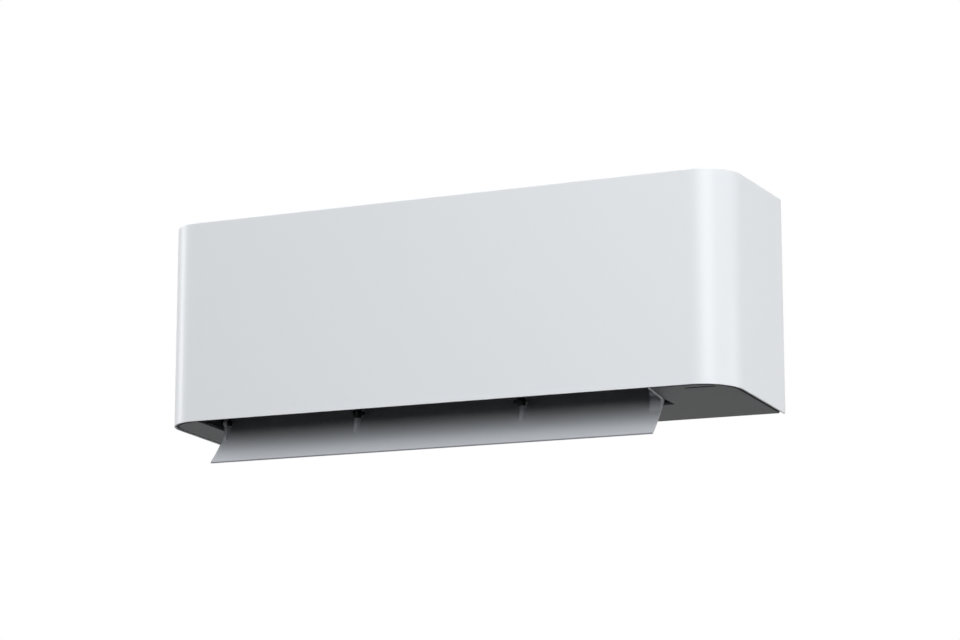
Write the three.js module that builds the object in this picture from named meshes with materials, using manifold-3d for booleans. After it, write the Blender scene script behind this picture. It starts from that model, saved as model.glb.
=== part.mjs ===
// Indoor unit of a ductless split air conditioner, hung on a wall by a steel plate.
// Millimetres, +Z up. The wall is the plane y = 0, the front faces -Y, and +X is to the
// right of someone who looks at the front. The origin is the middle of the wall plate.
import * as THREE from "three";
import { mergeVertices } from "three/addons/utils/BufferGeometryUtils.js";
import Module from "manifold-3d";

const wasm = await Module();
wasm.setup();

// Casing
const WIDTH = 860;
const DEPTH = 220;
const TOP = 144;
const FRONT_BOTTOM = -144;
const BOTTOM_DROP = 12;
const CORNER_RADIUS = 55;
const COVER_WALL = 2.5;
const COVER_LIP = 12;
const COVER_REAR = -2;
const CORNER_STEPS = 7;
const SEAT = 0.3;

// Air outlet in the underside, and the chassis walls beside it
const OUTLET_LEFT = -371;
const OUTLET_RIGHT = 309;
const OUTLET_REAR = -106;
const WALL_SHEET = 3;

// Bottom panel
const PANEL_SHEET = 3;
const PANEL_GROOVE = 5;
const PANEL_FLANGE = 1.5;

// Cross-flow fan
const FAN_Y = -100;
const FAN_Z = -9;
const FAN_RADIUS = 46;
const FAN_LEFT = -362;
const FAN_RIGHT = 300;
const FAN_BLADES = 20;
const FAN_SECTIONS = 4;
const FAN_DISC = 2.4;
const FAN_SHAFT_RADIUS = 4;

// Duct: the rear guide leaves the fan circle on its tangent and runs to the outlet
const GUIDE_TOP_ANGLE = THREE.MathUtils.degToRad(42);
const GUIDE_LEAVE_ANGLE = THREE.MathUtils.degToRad(-26.5);
const GUIDE_TOP_RADIUS = 54;
const GUIDE_LEAVE_RADIUS = 57;
const TONGUE_GAP = 5;

// Flap
const FLAP_PIVOT_Y = -146;
const FLAP_PIVOT_Z = -138;
const FLAP_OPEN = THREE.MathUtils.degToRad(53);
const FLAP_LEFT = -368.5;
const FLAP_RIGHT = 306.5;
const FLAP_REAR = 36;
const FLAP_FRONT = -69;
const FLAP_RISE = -8;
const FLAP_SAG = 4;
const FLAP_SHEET = 2.6;
const FLAP_ARM = 2.5;
const FLAP_DRIVEN_END = 20;
const FLAP_ARM_LEFT = -152.5;
const FLAP_ARM_RIGHT = 102;
const FLAP_HUB_RADIUS = 6;
const FLAP_PIN_RADIUS = 2.2;

// Vertical vanes, in two linked groups of six
const VANE_PITCH = 54;
const VANES_PER_GROUP = 6;
const VANE_FIRST_LEFT = -328;
const VANE_FIRST_RIGHT = 266;
const VANE_DOWN_GUIDE = 74;
const VANE_HEIGHT = 44;
const VANE_HALF_WIDTH = 18;
const VANE_SHEET = 1.6;
const VANE_STEM_RADIUS = 2.5;
const LINK_PIN_AT = 13;
const LINK_PIN_RADIUS = 1.4;

// Evaporator slabs, seen from the end
const COIL_LEFT = -366;
const COIL_RIGHT = 304;
const COIL_THICK = 26;
const COIL_GROOVES = 30;
const TUBE_SHEET = 1.3;

// Electrical bay, right of the outlet
const BAY_LEFT = OUTLET_RIGHT + WALL_SHEET;
const FAN_MOTOR_RADIUS = 42;

const V2 = (x, y) => new THREE.Vector2(x, y);
const mix = THREE.MathUtils.lerp;

const WHITE = new THREE.MeshStandardMaterial({ color: 0xeceff0, roughness: 0.35, metalness: 0 });
const DARK_GREY = new THREE.MeshStandardMaterial({ color: 0x55575a, roughness: 0.5, metalness: 0 });
const FLAP_GREY = new THREE.MeshStandardMaterial({ color: 0xdfe1e2, roughness: 0.4, metalness: 0 });
const BLACK = new THREE.MeshStandardMaterial({ color: 0x1c1d1f, roughness: 0.6, metalness: 0 });
const RUBBER = new THREE.MeshStandardMaterial({ color: 0x232426, roughness: 0.9, metalness: 0 });
const ALUMINIUM = new THREE.MeshStandardMaterial({ color: 0xb9bec2, roughness: 0.4, metalness: 0.9 });
const ZINC = new THREE.MeshStandardMaterial({ color: 0x9fa4a8, roughness: 0.45, metalness: 0.8 });
const COPPER = new THREE.MeshStandardMaterial({ color: 0xb87348, roughness: 0.35, metalness: 0.9 });
const BRASS = new THREE.MeshStandardMaterial({ color: 0xc2a25a, roughness: 0.35, metalness: 0.9 });
const BOARD_GREEN = new THREE.MeshStandardMaterial({ color: 0x2f6b4a, roughness: 0.6, metalness: 0 });
const SMOKED = new THREE.MeshStandardMaterial({ color: 0x15161a, roughness: 0.15, metalness: 0 });
const FILTER_GREY = new THREE.MeshStandardMaterial({ color: 0x8f9aa3, roughness: 0.8, metalness: 0 });

// ---------- joining and cutting ----------

function toSolid(geometry) {
  const bare = geometry.clone();
  for (const name of Object.keys(bare.attributes)) {
    if (name !== "position") bare.deleteAttribute(name);
  }
  const merged = mergeVertices(bare, 1e-4);
  const mesh = new wasm.Mesh({
    numProp: 3,
    vertProperties: new Float32Array(merged.attributes.position.array),
    triVerts: new Uint32Array(merged.index.array),
  });
  return new wasm.Manifold(mesh);
}

function toGeometry(solid) {
  const mesh = solid.getMesh();
  const geometry = new THREE.BufferGeometry();
  geometry.setAttribute("position", new THREE.BufferAttribute(mesh.vertProperties, 3));
  geometry.setIndex(new THREE.BufferAttribute(mesh.triVerts, 1));
  const flat = geometry.toNonIndexed();
  flat.computeVertexNormals();
  return flat;
}

function join(...geometries) {
  return toGeometry(geometries.map(toSolid).reduce((whole, piece) => whole.add(piece)));
}

function cut(geometry, ...tools) {
  return toGeometry(tools.map(toSolid).reduce((whole, tool) => whole.subtract(tool), toSolid(geometry)));
}

function common(first, second) {
  return toGeometry(toSolid(first).intersect(toSolid(second)));
}

// ---------- prisms, boxes and round bars ----------

const AXIS_X = new THREE.Vector3(1, 0, 0);
const AXIS_Y = new THREE.Vector3(0, 1, 0);
const AXIS_Z = new THREE.Vector3(0, 0, 1);

function extrude(shape, length, curveSegments) {
  return new THREE.ExtrudeGeometry(shape, { depth: length, bevelEnabled: false, curveSegments });
}

// A shape drawn in (y, z), run along X
function prismX(shape, x0, x1, curveSegments = 12) {
  const geometry = extrude(shape, x1 - x0, curveSegments);
  geometry.applyMatrix4(new THREE.Matrix4().makeBasis(AXIS_Y, AXIS_Z, AXIS_X));
  return geometry.translate(x0, 0, 0);
}

// A shape drawn in (x, z), run along Y
function prismY(shape, y0, y1, curveSegments = 12) {
  const geometry = extrude(shape, y1 - y0, curveSegments);
  geometry.applyMatrix4(new THREE.Matrix4().makeBasis(AXIS_X, AXIS_Z, AXIS_Y.clone().negate()));
  return geometry.translate(0, y1, 0);
}

// A shape drawn in (x, y), run along Z
function prismZ(shape, z0, z1, curveSegments = 12) {
  return extrude(shape, z1 - z0, curveSegments).translate(0, 0, z0);
}

function box(x0, x1, y0, y1, z0, z1) {
  const geometry = new THREE.BoxGeometry(x1 - x0, y1 - y0, z1 - z0);
  return geometry.translate((x0 + x1) / 2, (y0 + y1) / 2, (z0 + z1) / 2);
}

function rodX(radius, x0, x1, y, z, sides = 16) {
  const geometry = new THREE.CylinderGeometry(radius, radius, x1 - x0, sides);
  return geometry.rotateZ(-Math.PI / 2).translate((x0 + x1) / 2, y, z);
}

function rodY(radius, y0, y1, x, z, sides = 12) {
  const geometry = new THREE.CylinderGeometry(radius, radius, y1 - y0, sides);
  return geometry.translate(x, (y0 + y1) / 2, z);
}

function rodZ(radius, z0, z1, x, y, sides = 12) {
  const geometry = new THREE.CylinderGeometry(radius, radius, z1 - z0, sides);
  return geometry.rotateX(Math.PI / 2).translate(x, y, (z0 + z1) / 2);
}

// A turned piece whose profile is [distance along X, radius], placed at (y, z)
function turnedX(profile, y, z, sides = 24) {
  const points = profile.map(([along, radius]) => V2(radius, along));
  const geometry = new THREE.LatheGeometry(points, sides);
  return geometry.rotateZ(-Math.PI / 2).translate(0, y, z);
}

function polygon(points) {
  return new THREE.Shape(points.map((point) => V2(...point)));
}

// A sheet that follows a line of points, its thickness laid to the left of the travel
function sheetAlong(points, thickness) {
  const outer = points.map((point, i) => {
    const before = points[Math.max(i - 1, 0)];
    const after = points[Math.min(i + 1, points.length - 1)];
    const first = point.clone().sub(i ? before : point.clone().sub(after.clone().sub(point))).normalize();
    const second = i < points.length - 1 ? after.clone().sub(point).normalize() : first;
    const turn = V2(-first.y - second.y, first.x + second.x).normalize();
    const stretch = 1 / Math.max(turn.dot(V2(-first.y, first.x)), 0.5);
    return point.clone().add(turn.multiplyScalar(thickness * stretch));
  });
  return new THREE.Shape([...points, ...outer.reverse()]);
}

const unit = new THREE.Group();

function place(name, geometry, material, parent = unit) {
  const mesh = new THREE.Mesh(geometry, material);
  mesh.name = name;
  parent.add(mesh);
  return mesh;
}

// ---------- the casing ----------

// Height of the underside, which falls towards the wall
function underside(y) {
  return FRONT_BOTTOM - (BOTTOM_DROP * (y + DEPTH)) / DEPTH;
}

// The casing in plan: square at the wall, with two round front corners
function planOutline(inset, rear) {
  const half = WIDTH / 2 - inset;
  const radius = CORNER_RADIUS - inset;
  const arcX = WIDTH / 2 - CORNER_RADIUS;
  const arcY = CORNER_RADIUS - DEPTH;
  const outline = new THREE.Shape();
  outline.moveTo(-half, rear);
  outline.lineTo(-half, arcY);
  outline.absarc(-arcX, arcY, radius, Math.PI, 1.5 * Math.PI, false);
  outline.absarc(arcX, arcY, radius, 1.5 * Math.PI, 2 * Math.PI, false);
  outline.lineTo(half, rear);
  outline.closePath();
  return outline;
}

// Everything between two planes that are parallel to the sloping underside
function underLayer(outline, low, high) {
  const block = prismZ(outline, FRONT_BOTTOM - 2 * BOTTOM_DROP, FRONT_BOTTOM + 2 * BOTTOM_DROP, CORNER_STEPS);
  const front = -DEPTH - 5;
  const layer = polygon([
    [front, underside(front) + low],
    [5, underside(5) + low],
    [5, underside(5) + high],
    [front, underside(front) + high],
  ]);
  return common(block, prismX(layer, -WIDTH, WIDTH));
}

function frontCover() {
  const outside = prismZ(planOutline(0, COVER_REAR), FRONT_BOTTOM - BOTTOM_DROP, TOP, CORNER_STEPS);
  const inside = prismZ(planOutline(COVER_WALL, 10), -2 * TOP, TOP - COVER_WALL, CORNER_STEPS);
  const mouth = prismZ(planOutline(COVER_LIP, 10), 0, TOP + 10, CORNER_STEPS);
  const front = -DEPTH - 5;
  const slope = polygon([
    [front, underside(front)],
    [10, underside(10)],
    [10, -2 * TOP],
    [front, -2 * TOP],
  ]);
  return cut(outside, inside, mouth, prismX(slope, -WIDTH, WIDTH));
}

const WINDOW_X = 380;
const WINDOW_Y = -197;
const WINDOW_HALF_LENGTH = 21;
const WINDOW_HALF_WIDTH = 2;

function bottomPanel() {
  const rear = -DEPTH / 44;
  const plate = underLayer(planOutline(COVER_WALL + PANEL_GROOVE, rear), SEAT, SEAT + PANEL_SHEET);
  const flangeLow = PANEL_SHEET;
  const flange = underLayer(
    planOutline(COVER_WALL + SEAT, rear + 3),
    flangeLow,
    flangeLow + PANEL_FLANGE,
  );
  const flangeMiddle = underLayer(planOutline(COVER_WALL + 1.5 * PANEL_GROOVE, rear - 4), 0, 10);
  const outlet = box(OUTLET_LEFT, OUTLET_RIGHT, -DEPTH - 5, OUTLET_REAR, -2 * TOP, 0);
  const slot = box(
    WINDOW_X - WINDOW_HALF_LENGTH - SEAT,
    WINDOW_X + WINDOW_HALF_LENGTH + SEAT,
    WINDOW_Y - WINDOW_HALF_WIDTH - SEAT,
    WINDOW_Y + WINDOW_HALF_WIDTH + SEAT,
    -2 * TOP,
    0,
  );
  return cut(join(plate, cut(flange, flangeMiddle)), outlet, slot);
}

const TOP_SHEET = 3.2;
const TOP_FRAME_TOP = TOP - COVER_WALL - SEAT;
const INLET_COLUMNS = 9;
const INLET_ROWS = 4;
const INLET_FRONT = -200;
const INLET_REAR = -20;
const INLET_RIB = 3.5;

// Upright blocks that leave a flat grid of ribs between them when they are cut away
function gridWindows(x0, x1, y0, y1, columns, rows, rib) {
  const pitchX = (x1 - x0 + rib) / columns;
  const pitchY = (y1 - y0 + rib) / rows;
  const windows = [];
  for (let column = 0; column < columns; column += 1) {
    for (let row = 0; row < rows; row += 1) {
      const left = x0 + column * pitchX;
      const front = y0 + row * pitchY;
      windows.push(box(left, left + pitchX - rib, front, front + pitchY - rib, TOP - 20, TOP + 20));
    }
  }
  return windows;
}

function topFrame() {
  const sheet = prismZ(planOutline(COVER_WALL + SEAT, -6.5), TOP_FRAME_TOP - TOP_SHEET, TOP_FRAME_TOP, CORNER_STEPS);
  const inlet = gridWindows(-366, 304, INLET_FRONT, INLET_REAR, INLET_COLUMNS, INLET_ROWS, INLET_RIB);
  const grid = cut(sheet, ...inlet);
  const island = prismZ(planOutline(COVER_LIP + SEAT, -6.5), TOP_FRAME_TOP - 1, TOP - SEAT, CORNER_STEPS);
  const seat = box(-373, BAY_LEFT, -DEPTH, 5, 0, 2 * TOP);
  return join(grid, cut(island, seat));
}

const FILTER_TOP = TOP - SEAT;
const FILTER_BORDER = 7;

function airFilter(x0, x1) {
  const y0 = -DEPTH + COVER_LIP + 3;
  const y1 = -14;
  const bottom = TOP_FRAME_TOP + SEAT;
  const middle = (x0 + x1) / 2;
  const windows = gridWindows(x0 + FILTER_BORDER, x1 - FILTER_BORDER, y0 + 18, y1 - FILTER_BORDER, 6, 3, 2.4);
  const fingerHole = box(middle - 24, middle + 24, y0 + 5, y0 + 13, bottom - 5, FILTER_TOP + 5);
  const lattice = cut(box(x0, x1, y0, y1, bottom, FILTER_TOP), ...windows, fingerHole);
  const mesh = box(x0 + 3, x1 - 3, y0 + 15, y1 - 3, bottom, bottom + 0.7);
  return join(lattice, mesh);
}

// ---------- the wall plate and the chassis ----------

const PLATE_SHEET = 1.5;
const HOOK_XS = [-230, 0, 230];
const HOOK_Z = 108;
const HOOK_HALF = 18;

function wallPlate() {
  const outline = polygon([[-350, -60], [-270, -60], [-255, -132], [-195, -132], [-180, -60],
    [180, -60], [195, -132], [255, -132], [270, -60], [350, -60], [350, 70],
    [300, 125], [-300, 125], [-350, 70]]);
  const holes = [-1, 1].flatMap((side) => [
    box(side * 150 - 40, side * 150 + 40, -5, 5, -25, 55),
    ...[-45, 75].flatMap((level) => [60, 300].map((across) => rodY(3.5, -5, 5, side * across, level, 8))),
  ]);
  const sheet = cut(prismY(outline, -PLATE_SHEET, 0), ...holes);
  const hooks = HOOK_XS.flatMap((x) => [
    box(x - HOOK_HALF, x + HOOK_HALF, -9, -PLATE_SHEET + 0.2, HOOK_Z, HOOK_Z + PLATE_SHEET),
    box(x - HOOK_HALF, x + HOOK_HALF, -9, -9 + PLATE_SHEET, HOOK_Z, HOOK_Z + 10),
  ]);
  const ledges = [-225, 225].map((x) => box(x - 20, x + 20, -7, -PLATE_SHEET + 0.2, -132, -130.5));
  return join(sheet, ...hooks, ...ledges);
}

function fanPoint(angle, radius) {
  return V2(FAN_Y + radius * Math.cos(angle), FAN_Z + radius * Math.sin(angle));
}

const GUIDE_LEAVES = fanPoint(GUIDE_LEAVE_ANGLE, GUIDE_LEAVE_RADIUS);
const GUIDE_END = V2(OUTLET_REAR, underside(OUTLET_REAR) + PANEL_SHEET + 2 * SEAT);
const DOWNSTREAM = GUIDE_END.clone().sub(GUIDE_LEAVES).normalize();
const GUIDE_TILT = Math.atan2(-DOWNSTREAM.y, -DOWNSTREAM.x);

function guideLine() {
  const line = [V2(-51, 46)];
  const steps = 12;
  for (let step = 0; step <= steps; step += 1) {
    const part = step / steps;
    const angle = mix(GUIDE_TOP_ANGLE, GUIDE_LEAVE_ANGLE, part);
    line.push(fanPoint(angle, mix(GUIDE_TOP_RADIUS, GUIDE_LEAVE_RADIUS, part)));
  }
  line.push(GUIDE_END);
  return line;
}

const BACK_FRONT_FACE = -6;
const BACK_REAR_FACE = -3.2;

function backSheet() {
  const low = -141;
  const outline = polygon([[-424, low], [-374, low], [-374, -55], [OUTLET_RIGHT, -55],
    [OUTLET_RIGHT, low], [424, low], [424, 136], [-424, 136]]);
  const slots = HOOK_XS.map((x) =>
    box(x - HOOK_HALF - 2, x + HOOK_HALF + 2, -20, 5, HOOK_Z - 4, HOOK_Z + 13));
  return cut(prismY(outline, BACK_FRONT_FACE, BACK_REAR_FACE), ...slots);
}

function endWallShape() {
  const gap = PANEL_SHEET + 2 * SEAT;
  const rear = BACK_FRONT_FACE + 1;
  const shape = new THREE.Shape();
  shape.moveTo(rear, underside(rear) + gap + PANEL_FLANGE);
  shape.lineTo(rear, 58);
  shape.lineTo(-52, 58);
  shape.absarc(FAN_Y, FAN_Z, FAN_RADIUS + 14, 0.9, Math.PI, false);
  shape.lineTo(-168, -60);
  shape.lineTo(-212, -100);
  shape.lineTo(-212, underside(-212) + gap + PANEL_FLANGE);
  shape.closePath();
  return shape;
}

function endWall(x0, shaftHole, pipeGap) {
  const tools = [
    rodX(shaftHole, x0 - 5, x0 + 8, FAN_Y, FAN_Z, 20),
    rodX(FLAP_PIN_RADIUS + 2 * SEAT, x0 - 5, x0 + 8, FLAP_PIVOT_Y, FLAP_PIVOT_Z, 10),
  ];
  if (pipeGap) tools.push(box(x0 - 5, x0 + 8, -49, -9, -132, -74));
  return cut(prismX(endWallShape(), x0, x0 + WALL_SHEET), ...tools);
}

// A web between the back sheet and the rear guide
function guideWeb(x) {
  const inside = guideLine().slice(1, -1).map((point) => V2(point.x + 1, point.y));
  const shape = new THREE.Shape([V2(BACK_FRONT_FACE + 1, 45), V2(-52, 45), ...inside,
    V2(-58, -55), V2(BACK_FRONT_FACE + 1, -55)]);
  return prismX(shape, x - 1.25, x + 1.25);
}

// All the room under the bottom panel's upper face
function belowPanelTop() {
  const gap = PANEL_SHEET + 2 * SEAT;
  const front = -DEPTH - 5;
  return prismX(polygon([
    [front, underside(front) + gap],
    [front, -2 * TOP],
    [5, -2 * TOP],
    [5, underside(5) + gap],
  ]), -WIDTH, WIDTH);
}

function vaneXs(first, direction) {
  return Array.from({ length: VANES_PER_GROUP }, (_, i) => first + direction * i * VANE_PITCH);
}

const VANE_XS_LEFT = vaneXs(VANE_FIRST_LEFT, 1);
const VANE_XS_RIGHT = vaneXs(VANE_FIRST_RIGHT, -1);
const VANE_BASE = GUIDE_LEAVES.clone().add(DOWNSTREAM.clone().multiplyScalar(VANE_DOWN_GUIDE));

// Turns a piece drawn with +Z out of the rear guide and +Y upstream onto the guide at x
function ontoGuide(geometry, x) {
  return geometry.rotateX(GUIDE_TILT).translate(x, VANE_BASE.x, VANE_BASE.y);
}

function chassis() {
  const pieces = [
    backSheet(),
    prismX(sheetAlong(guideLine(), WALL_SHEET), OUTLET_LEFT - 1, OUTLET_RIGHT + 1),
    endWall(OUTLET_LEFT - WALL_SHEET, 13 + SEAT, false),
    endWall(OUTLET_RIGHT, 10, true),
    box(OUTLET_LEFT - 1, OUTLET_RIGHT + 1, -52, BACK_FRONT_FACE + 1, 44, 47),
    box(OUTLET_LEFT - 1, OUTLET_RIGHT + 1, -52, -49.5, 44, 54),
    ...[-250, -125, 0, 125, 230].map(guideWeb),
  ];
  const stemHoles = [...VANE_XS_LEFT, ...VANE_XS_RIGHT].map((x) =>
    ontoGuide(rodZ(VANE_STEM_RADIUS + SEAT, -8, 8, 0, 0, 8), x));
  return cut(join(...pieces), ...stemHoles, belowPanelTop());
}

// ---------- drain pan with the front wall of the duct ----------

const PAN_LEFT = OUTLET_LEFT + 0.5;
const PAN_RIGHT = OUTLET_RIGHT - 0.5;
const PAN_SHEET = 2.5;
const PAN_FRONT = -213;
const PAN_REAR = -172;
const PAN_BOTTOM = -90;
const PAN_RIM = -64;
const FRONT_WALL_FOOT = V2(-212, -139);

function tonguePoint() {
  return fanPoint(1.25 * Math.PI, FAN_RADIUS + TONGUE_GAP);
}

function frontWallLine() {
  const tip = tonguePoint();
  const leave = V2(-158, -82);
  const curve = new THREE.QuadraticBezierCurve(leave, V2(-182, -114), FRONT_WALL_FOOT);
  return [tip, ...curve.getPoints(5)];
}

function drainPan() {
  const tip = tonguePoint();
  const wedge = polygon([[tip.x, tip.y], [tip.x + 0.5, tip.y + 4], [PAN_REAR, PAN_RIM + 4],
    [PAN_REAR, PAN_BOTTOM], [-166, -92], [-158, -82]]);
  return join(
    prismX(sheetAlong(frontWallLine().reverse(), PAN_SHEET), PAN_LEFT, PAN_RIGHT),
    prismX(wedge, PAN_LEFT, PAN_RIGHT),
    box(PAN_LEFT, PAN_RIGHT, PAN_FRONT, PAN_REAR + 1, PAN_BOTTOM, PAN_BOTTOM + PAN_SHEET),
    box(PAN_LEFT, PAN_RIGHT, PAN_FRONT, PAN_FRONT + PAN_SHEET, PAN_BOTTOM, PAN_RIM),
    box(PAN_LEFT, PAN_LEFT + PAN_SHEET, PAN_FRONT, PAN_REAR + 1, PAN_BOTTOM, PAN_RIM - 6),
    box(PAN_RIGHT - PAN_SHEET, PAN_RIGHT, PAN_FRONT, PAN_REAR + 1, PAN_BOTTOM, PAN_RIM - 6),
  );
}

// ---------- cross-flow fan ----------

// One forward-curved blade, seen from the end
function fanBlade(index) {
  const turn = (2 * Math.PI * index) / FAN_BLADES;
  const inner = 0.76 * FAN_RADIUS;
  const sweep = 0.3;
  const face = (radius, lift) => {
    const part = (radius - inner) / (FAN_RADIUS - inner);
    const angle = turn + sweep * part * part + lift / radius;
    return [radius * Math.cos(angle), radius * Math.sin(angle)];
  };
  const middle = 0.89 * FAN_RADIUS;
  return polygon([face(inner, 0), face(middle, 0), face(FAN_RADIUS - 0.4, 0),
    face(middle, 1.8), face(inner, 1)]);
}

function crossFlowFan() {
  const length = FAN_RIGHT - FAN_LEFT;
  const blades = Array.from({ length: FAN_BLADES }, (_, i) => prismX(fanBlade(i), FAN_LEFT + 1, FAN_RIGHT - 1));
  const ring = new THREE.Shape();
  ring.absarc(0, 0, FAN_RADIUS, 0, 2 * Math.PI, false);
  const bore = new THREE.Path();
  bore.absarc(0, 0, 0.66 * FAN_RADIUS, 0, 2 * Math.PI, true);
  ring.holes.push(bore);
  const rings = [];
  for (let i = 1; i < FAN_SECTIONS; i += 1) {
    const x = FAN_LEFT + (length * i) / FAN_SECTIONS;
    rings.push(prismX(ring, x - FAN_DISC / 2, x + FAN_DISC / 2, 16));
  }
  const ends = [
    rodX(FAN_RADIUS, FAN_LEFT, FAN_LEFT + FAN_DISC, 0, 0, 32),
    rodX(FAN_RADIUS, FAN_RIGHT - FAN_DISC, FAN_RIGHT, 0, 0, 32),
    rodX(13, FAN_RIGHT - 22, FAN_RIGHT - 1, 0, 0, 16),
    rodX(FAN_SHAFT_RADIUS, FAN_LEFT - 18, FAN_LEFT + 1, 0, 0, 12),
    rodX(FAN_SHAFT_RADIUS, FAN_RIGHT - 1, FAN_RIGHT + 26, 0, 0, 12),
  ];
  return join(...blades, ...rings, ...ends).translate(0, FAN_Y, FAN_Z);
}

const MOTOR_LEFT = 317;
const MOTOR_RIGHT = 392;

function fanMotor() {
  const bore = FAN_SHAFT_RADIUS + 0.4;
  return turnedX([
    [MOTOR_LEFT + 14, 0],
    [MOTOR_LEFT + 14, bore],
    [MOTOR_LEFT, bore],
    [MOTOR_LEFT, 11],
    [MOTOR_LEFT + 5, 13],
    [MOTOR_LEFT + 7, 30],
    [MOTOR_LEFT + 14, FAN_MOTOR_RADIUS - 4],
    [MOTOR_LEFT + 18, FAN_MOTOR_RADIUS - 3],
    [MOTOR_LEFT + 18, FAN_MOTOR_RADIUS],
    [MOTOR_LEFT + 52, FAN_MOTOR_RADIUS],
    [MOTOR_LEFT + 52, FAN_MOTOR_RADIUS - 3],
    [MOTOR_RIGHT - 8, FAN_MOTOR_RADIUS - 6],
    [MOTOR_RIGHT - 2, 28],
    [MOTOR_RIGHT, 12],
    [MOTOR_RIGHT, 0],
  ], FAN_Y, FAN_Z, 24);
}

// Strap round the motor on a foot that stands on the back of the chassis
function motorClamp() {
  const strap = new THREE.Shape();
  strap.absarc(FAN_Y, FAN_Z, FAN_MOTOR_RADIUS + 3.4, 0, 2 * Math.PI, false);
  const bore = new THREE.Path();
  bore.absarc(FAN_Y, FAN_Z, FAN_MOTOR_RADIUS + 0.4, 0, 2 * Math.PI, true);
  strap.holes.push(bore);
  const foot = box(344, 366, FAN_Y + FAN_MOTOR_RADIUS + 2, BACK_FRONT_FACE - SEAT, FAN_Z - 22, FAN_Z + 22);
  const hollow = box(347, 363, FAN_Y + FAN_MOTOR_RADIUS + 6, BACK_FRONT_FACE - 4, FAN_Z - 40, FAN_Z + 40);
  const ears = box(344, 366, FAN_Y - 5, FAN_Y + 5, FAN_Z + FAN_MOTOR_RADIUS + 2, FAN_Z + FAN_MOTOR_RADIUS + 12);
  return join(prismX(strap, 344, 366, 14), cut(foot, hollow), ears);
}

function fanBearing() {
  const wall = OUTLET_LEFT - WALL_SHEET;
  const bore = FAN_SHAFT_RADIUS + 0.4;
  return turnedX([
    [wall - 6, bore],
    [wall - 6, 15],
    [wall - SEAT, 15],
    [wall - SEAT, 13],
    [OUTLET_LEFT + 1, 13],
    [OUTLET_LEFT + 1, bore],
    [wall - 6, bore],
  ], FAN_Y, FAN_Z, 20);
}

function bearingCap() {
  const wall = OUTLET_LEFT - WALL_SHEET;
  const cup = turnedX([
    [wall - 11, 0],
    [wall - 11, 16],
    [wall - 9, 18],
    [wall - SEAT, 18],
    [wall - SEAT, 15.5],
    [wall - 6.5, 15.5],
    [wall - 6.5, 0],
  ], FAN_Y, FAN_Z, 20);
  const ears = box(wall - 3, wall - SEAT, FAN_Y - 28, FAN_Y - 16.5, FAN_Z - 6, FAN_Z + 6);
  const otherEar = box(wall - 3, wall - SEAT, FAN_Y + 16.5, FAN_Y + 28, FAN_Z - 6, FAN_Z + 6);
  return join(cup, ears, otherEar);
}

// ---------- evaporator ----------

const COIL_SLABS = {
  front: { from: V2(-193, -68), to: V2(-193, 46) },
  upper: { from: V2(-190, 60), to: V2(-118, 119) },
  rear: { from: V2(-100, 119), to: V2(-38, 68) },
};

// The finned block runs from end to end, its fins shown as grouped grooves
function coilSlab({ from, to }) {
  const length = to.distanceTo(from);
  const comb = new THREE.Shape();
  const pitch = (COIL_RIGHT - COIL_LEFT) / COIL_GROOVES;
  comb.moveTo(COIL_LEFT, COIL_THICK);
  comb.lineTo(COIL_RIGHT, COIL_THICK);
  comb.lineTo(COIL_RIGHT, 0);
  for (let i = COIL_GROOVES - 1; i > 0; i -= 1) {
    const x = COIL_LEFT + i * pitch;
    comb.lineTo(x + 1, 0);
    comb.lineTo(x + 1, 9);
    comb.lineTo(x - 1, 9);
    comb.lineTo(x - 1, 0);
  }
  comb.lineTo(COIL_LEFT, 0);
  comb.closePath();
  const along = to.clone().sub(from).normalize();
  const block = prismZ(comb, 0, length).translate(0, -COIL_THICK / 2, 0);
  const inward = new THREE.Vector3(0, along.y, -along.x);
  const up = new THREE.Vector3(0, along.x, along.y);
  block.applyMatrix4(new THREE.Matrix4().makeBasis(AXIS_X, inward, up));
  return block.translate(0, from.x, from.y);
}

function slabRectangle({ from, to }, margin) {
  const along = to.clone().sub(from).normalize();
  const side = V2(-along.y, along.x).multiplyScalar(COIL_THICK / 2 + margin);
  const low = from.clone().addScaledVector(along, -margin);
  const high = to.clone().addScaledVector(along, margin);
  return new THREE.Shape([low.clone().sub(side), high.clone().sub(side), high.clone().add(side),
    low.clone().add(side)]);
}

// Half ring of copper tube that joins two neighbouring tubes outside the end plate
function returnBend(x, centre, along, outward) {
  const spread = 10.5;
  const start = centre.clone().addScaledVector(along, -spread);
  const end = centre.clone().addScaledVector(along, spread);
  const reach = (part) => 3 * outward + outward * spread * Math.sin(Math.PI * part);
  const points = [new THREE.Vector3(x, start.x, start.y)];
  for (let step = 0; step <= 6; step += 1) {
    const part = step / 6;
    const shift = -spread * Math.cos(Math.PI * part);
    const place = centre.clone().addScaledVector(along, shift);
    points.push(new THREE.Vector3(x + reach(part), place.x, place.y));
  }
  points.push(new THREE.Vector3(x, end.x, end.y));
  return tubeThrough(points, 3.5, 5, 7);
}

function tubeThrough(points, radius, sides, steps) {
  const section = new THREE.Shape();
  for (let i = 0; i < sides; i += 1) {
    const angle = (2 * Math.PI * i) / sides;
    const put = i ? "lineTo" : "moveTo";
    section[put](radius * Math.cos(angle), radius * Math.sin(angle));
  }
  section.closePath();
  const path = new THREE.CatmullRomCurve3(points, false, "centripetal");
  return new THREE.ExtrudeGeometry(section, { steps, bevelEnabled: false, extrudePath: path });
}

function tubePlate(x0, outward, bends) {
  const outer = outward > 0 ? x0 + TUBE_SHEET : x0;
  const plates = Object.values(COIL_SLABS).map((slab) =>
    prismX(slabRectangle(slab, 3.5), x0, x0 + TUBE_SHEET));
  const tubes = Object.entries(COIL_SLABS).flatMap(([name, { from, to }]) => {
    const along = to.clone().sub(from).normalize();
    return bends[name].map((part) =>
      returnBend(outer - outward * 0.6, from.clone().lerp(to, part), along, outward));
  });
  return join(...plates, ...tubes);
}

// ---------- refrigerant pipes ----------

const PIPE_END_X = -150;

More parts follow.
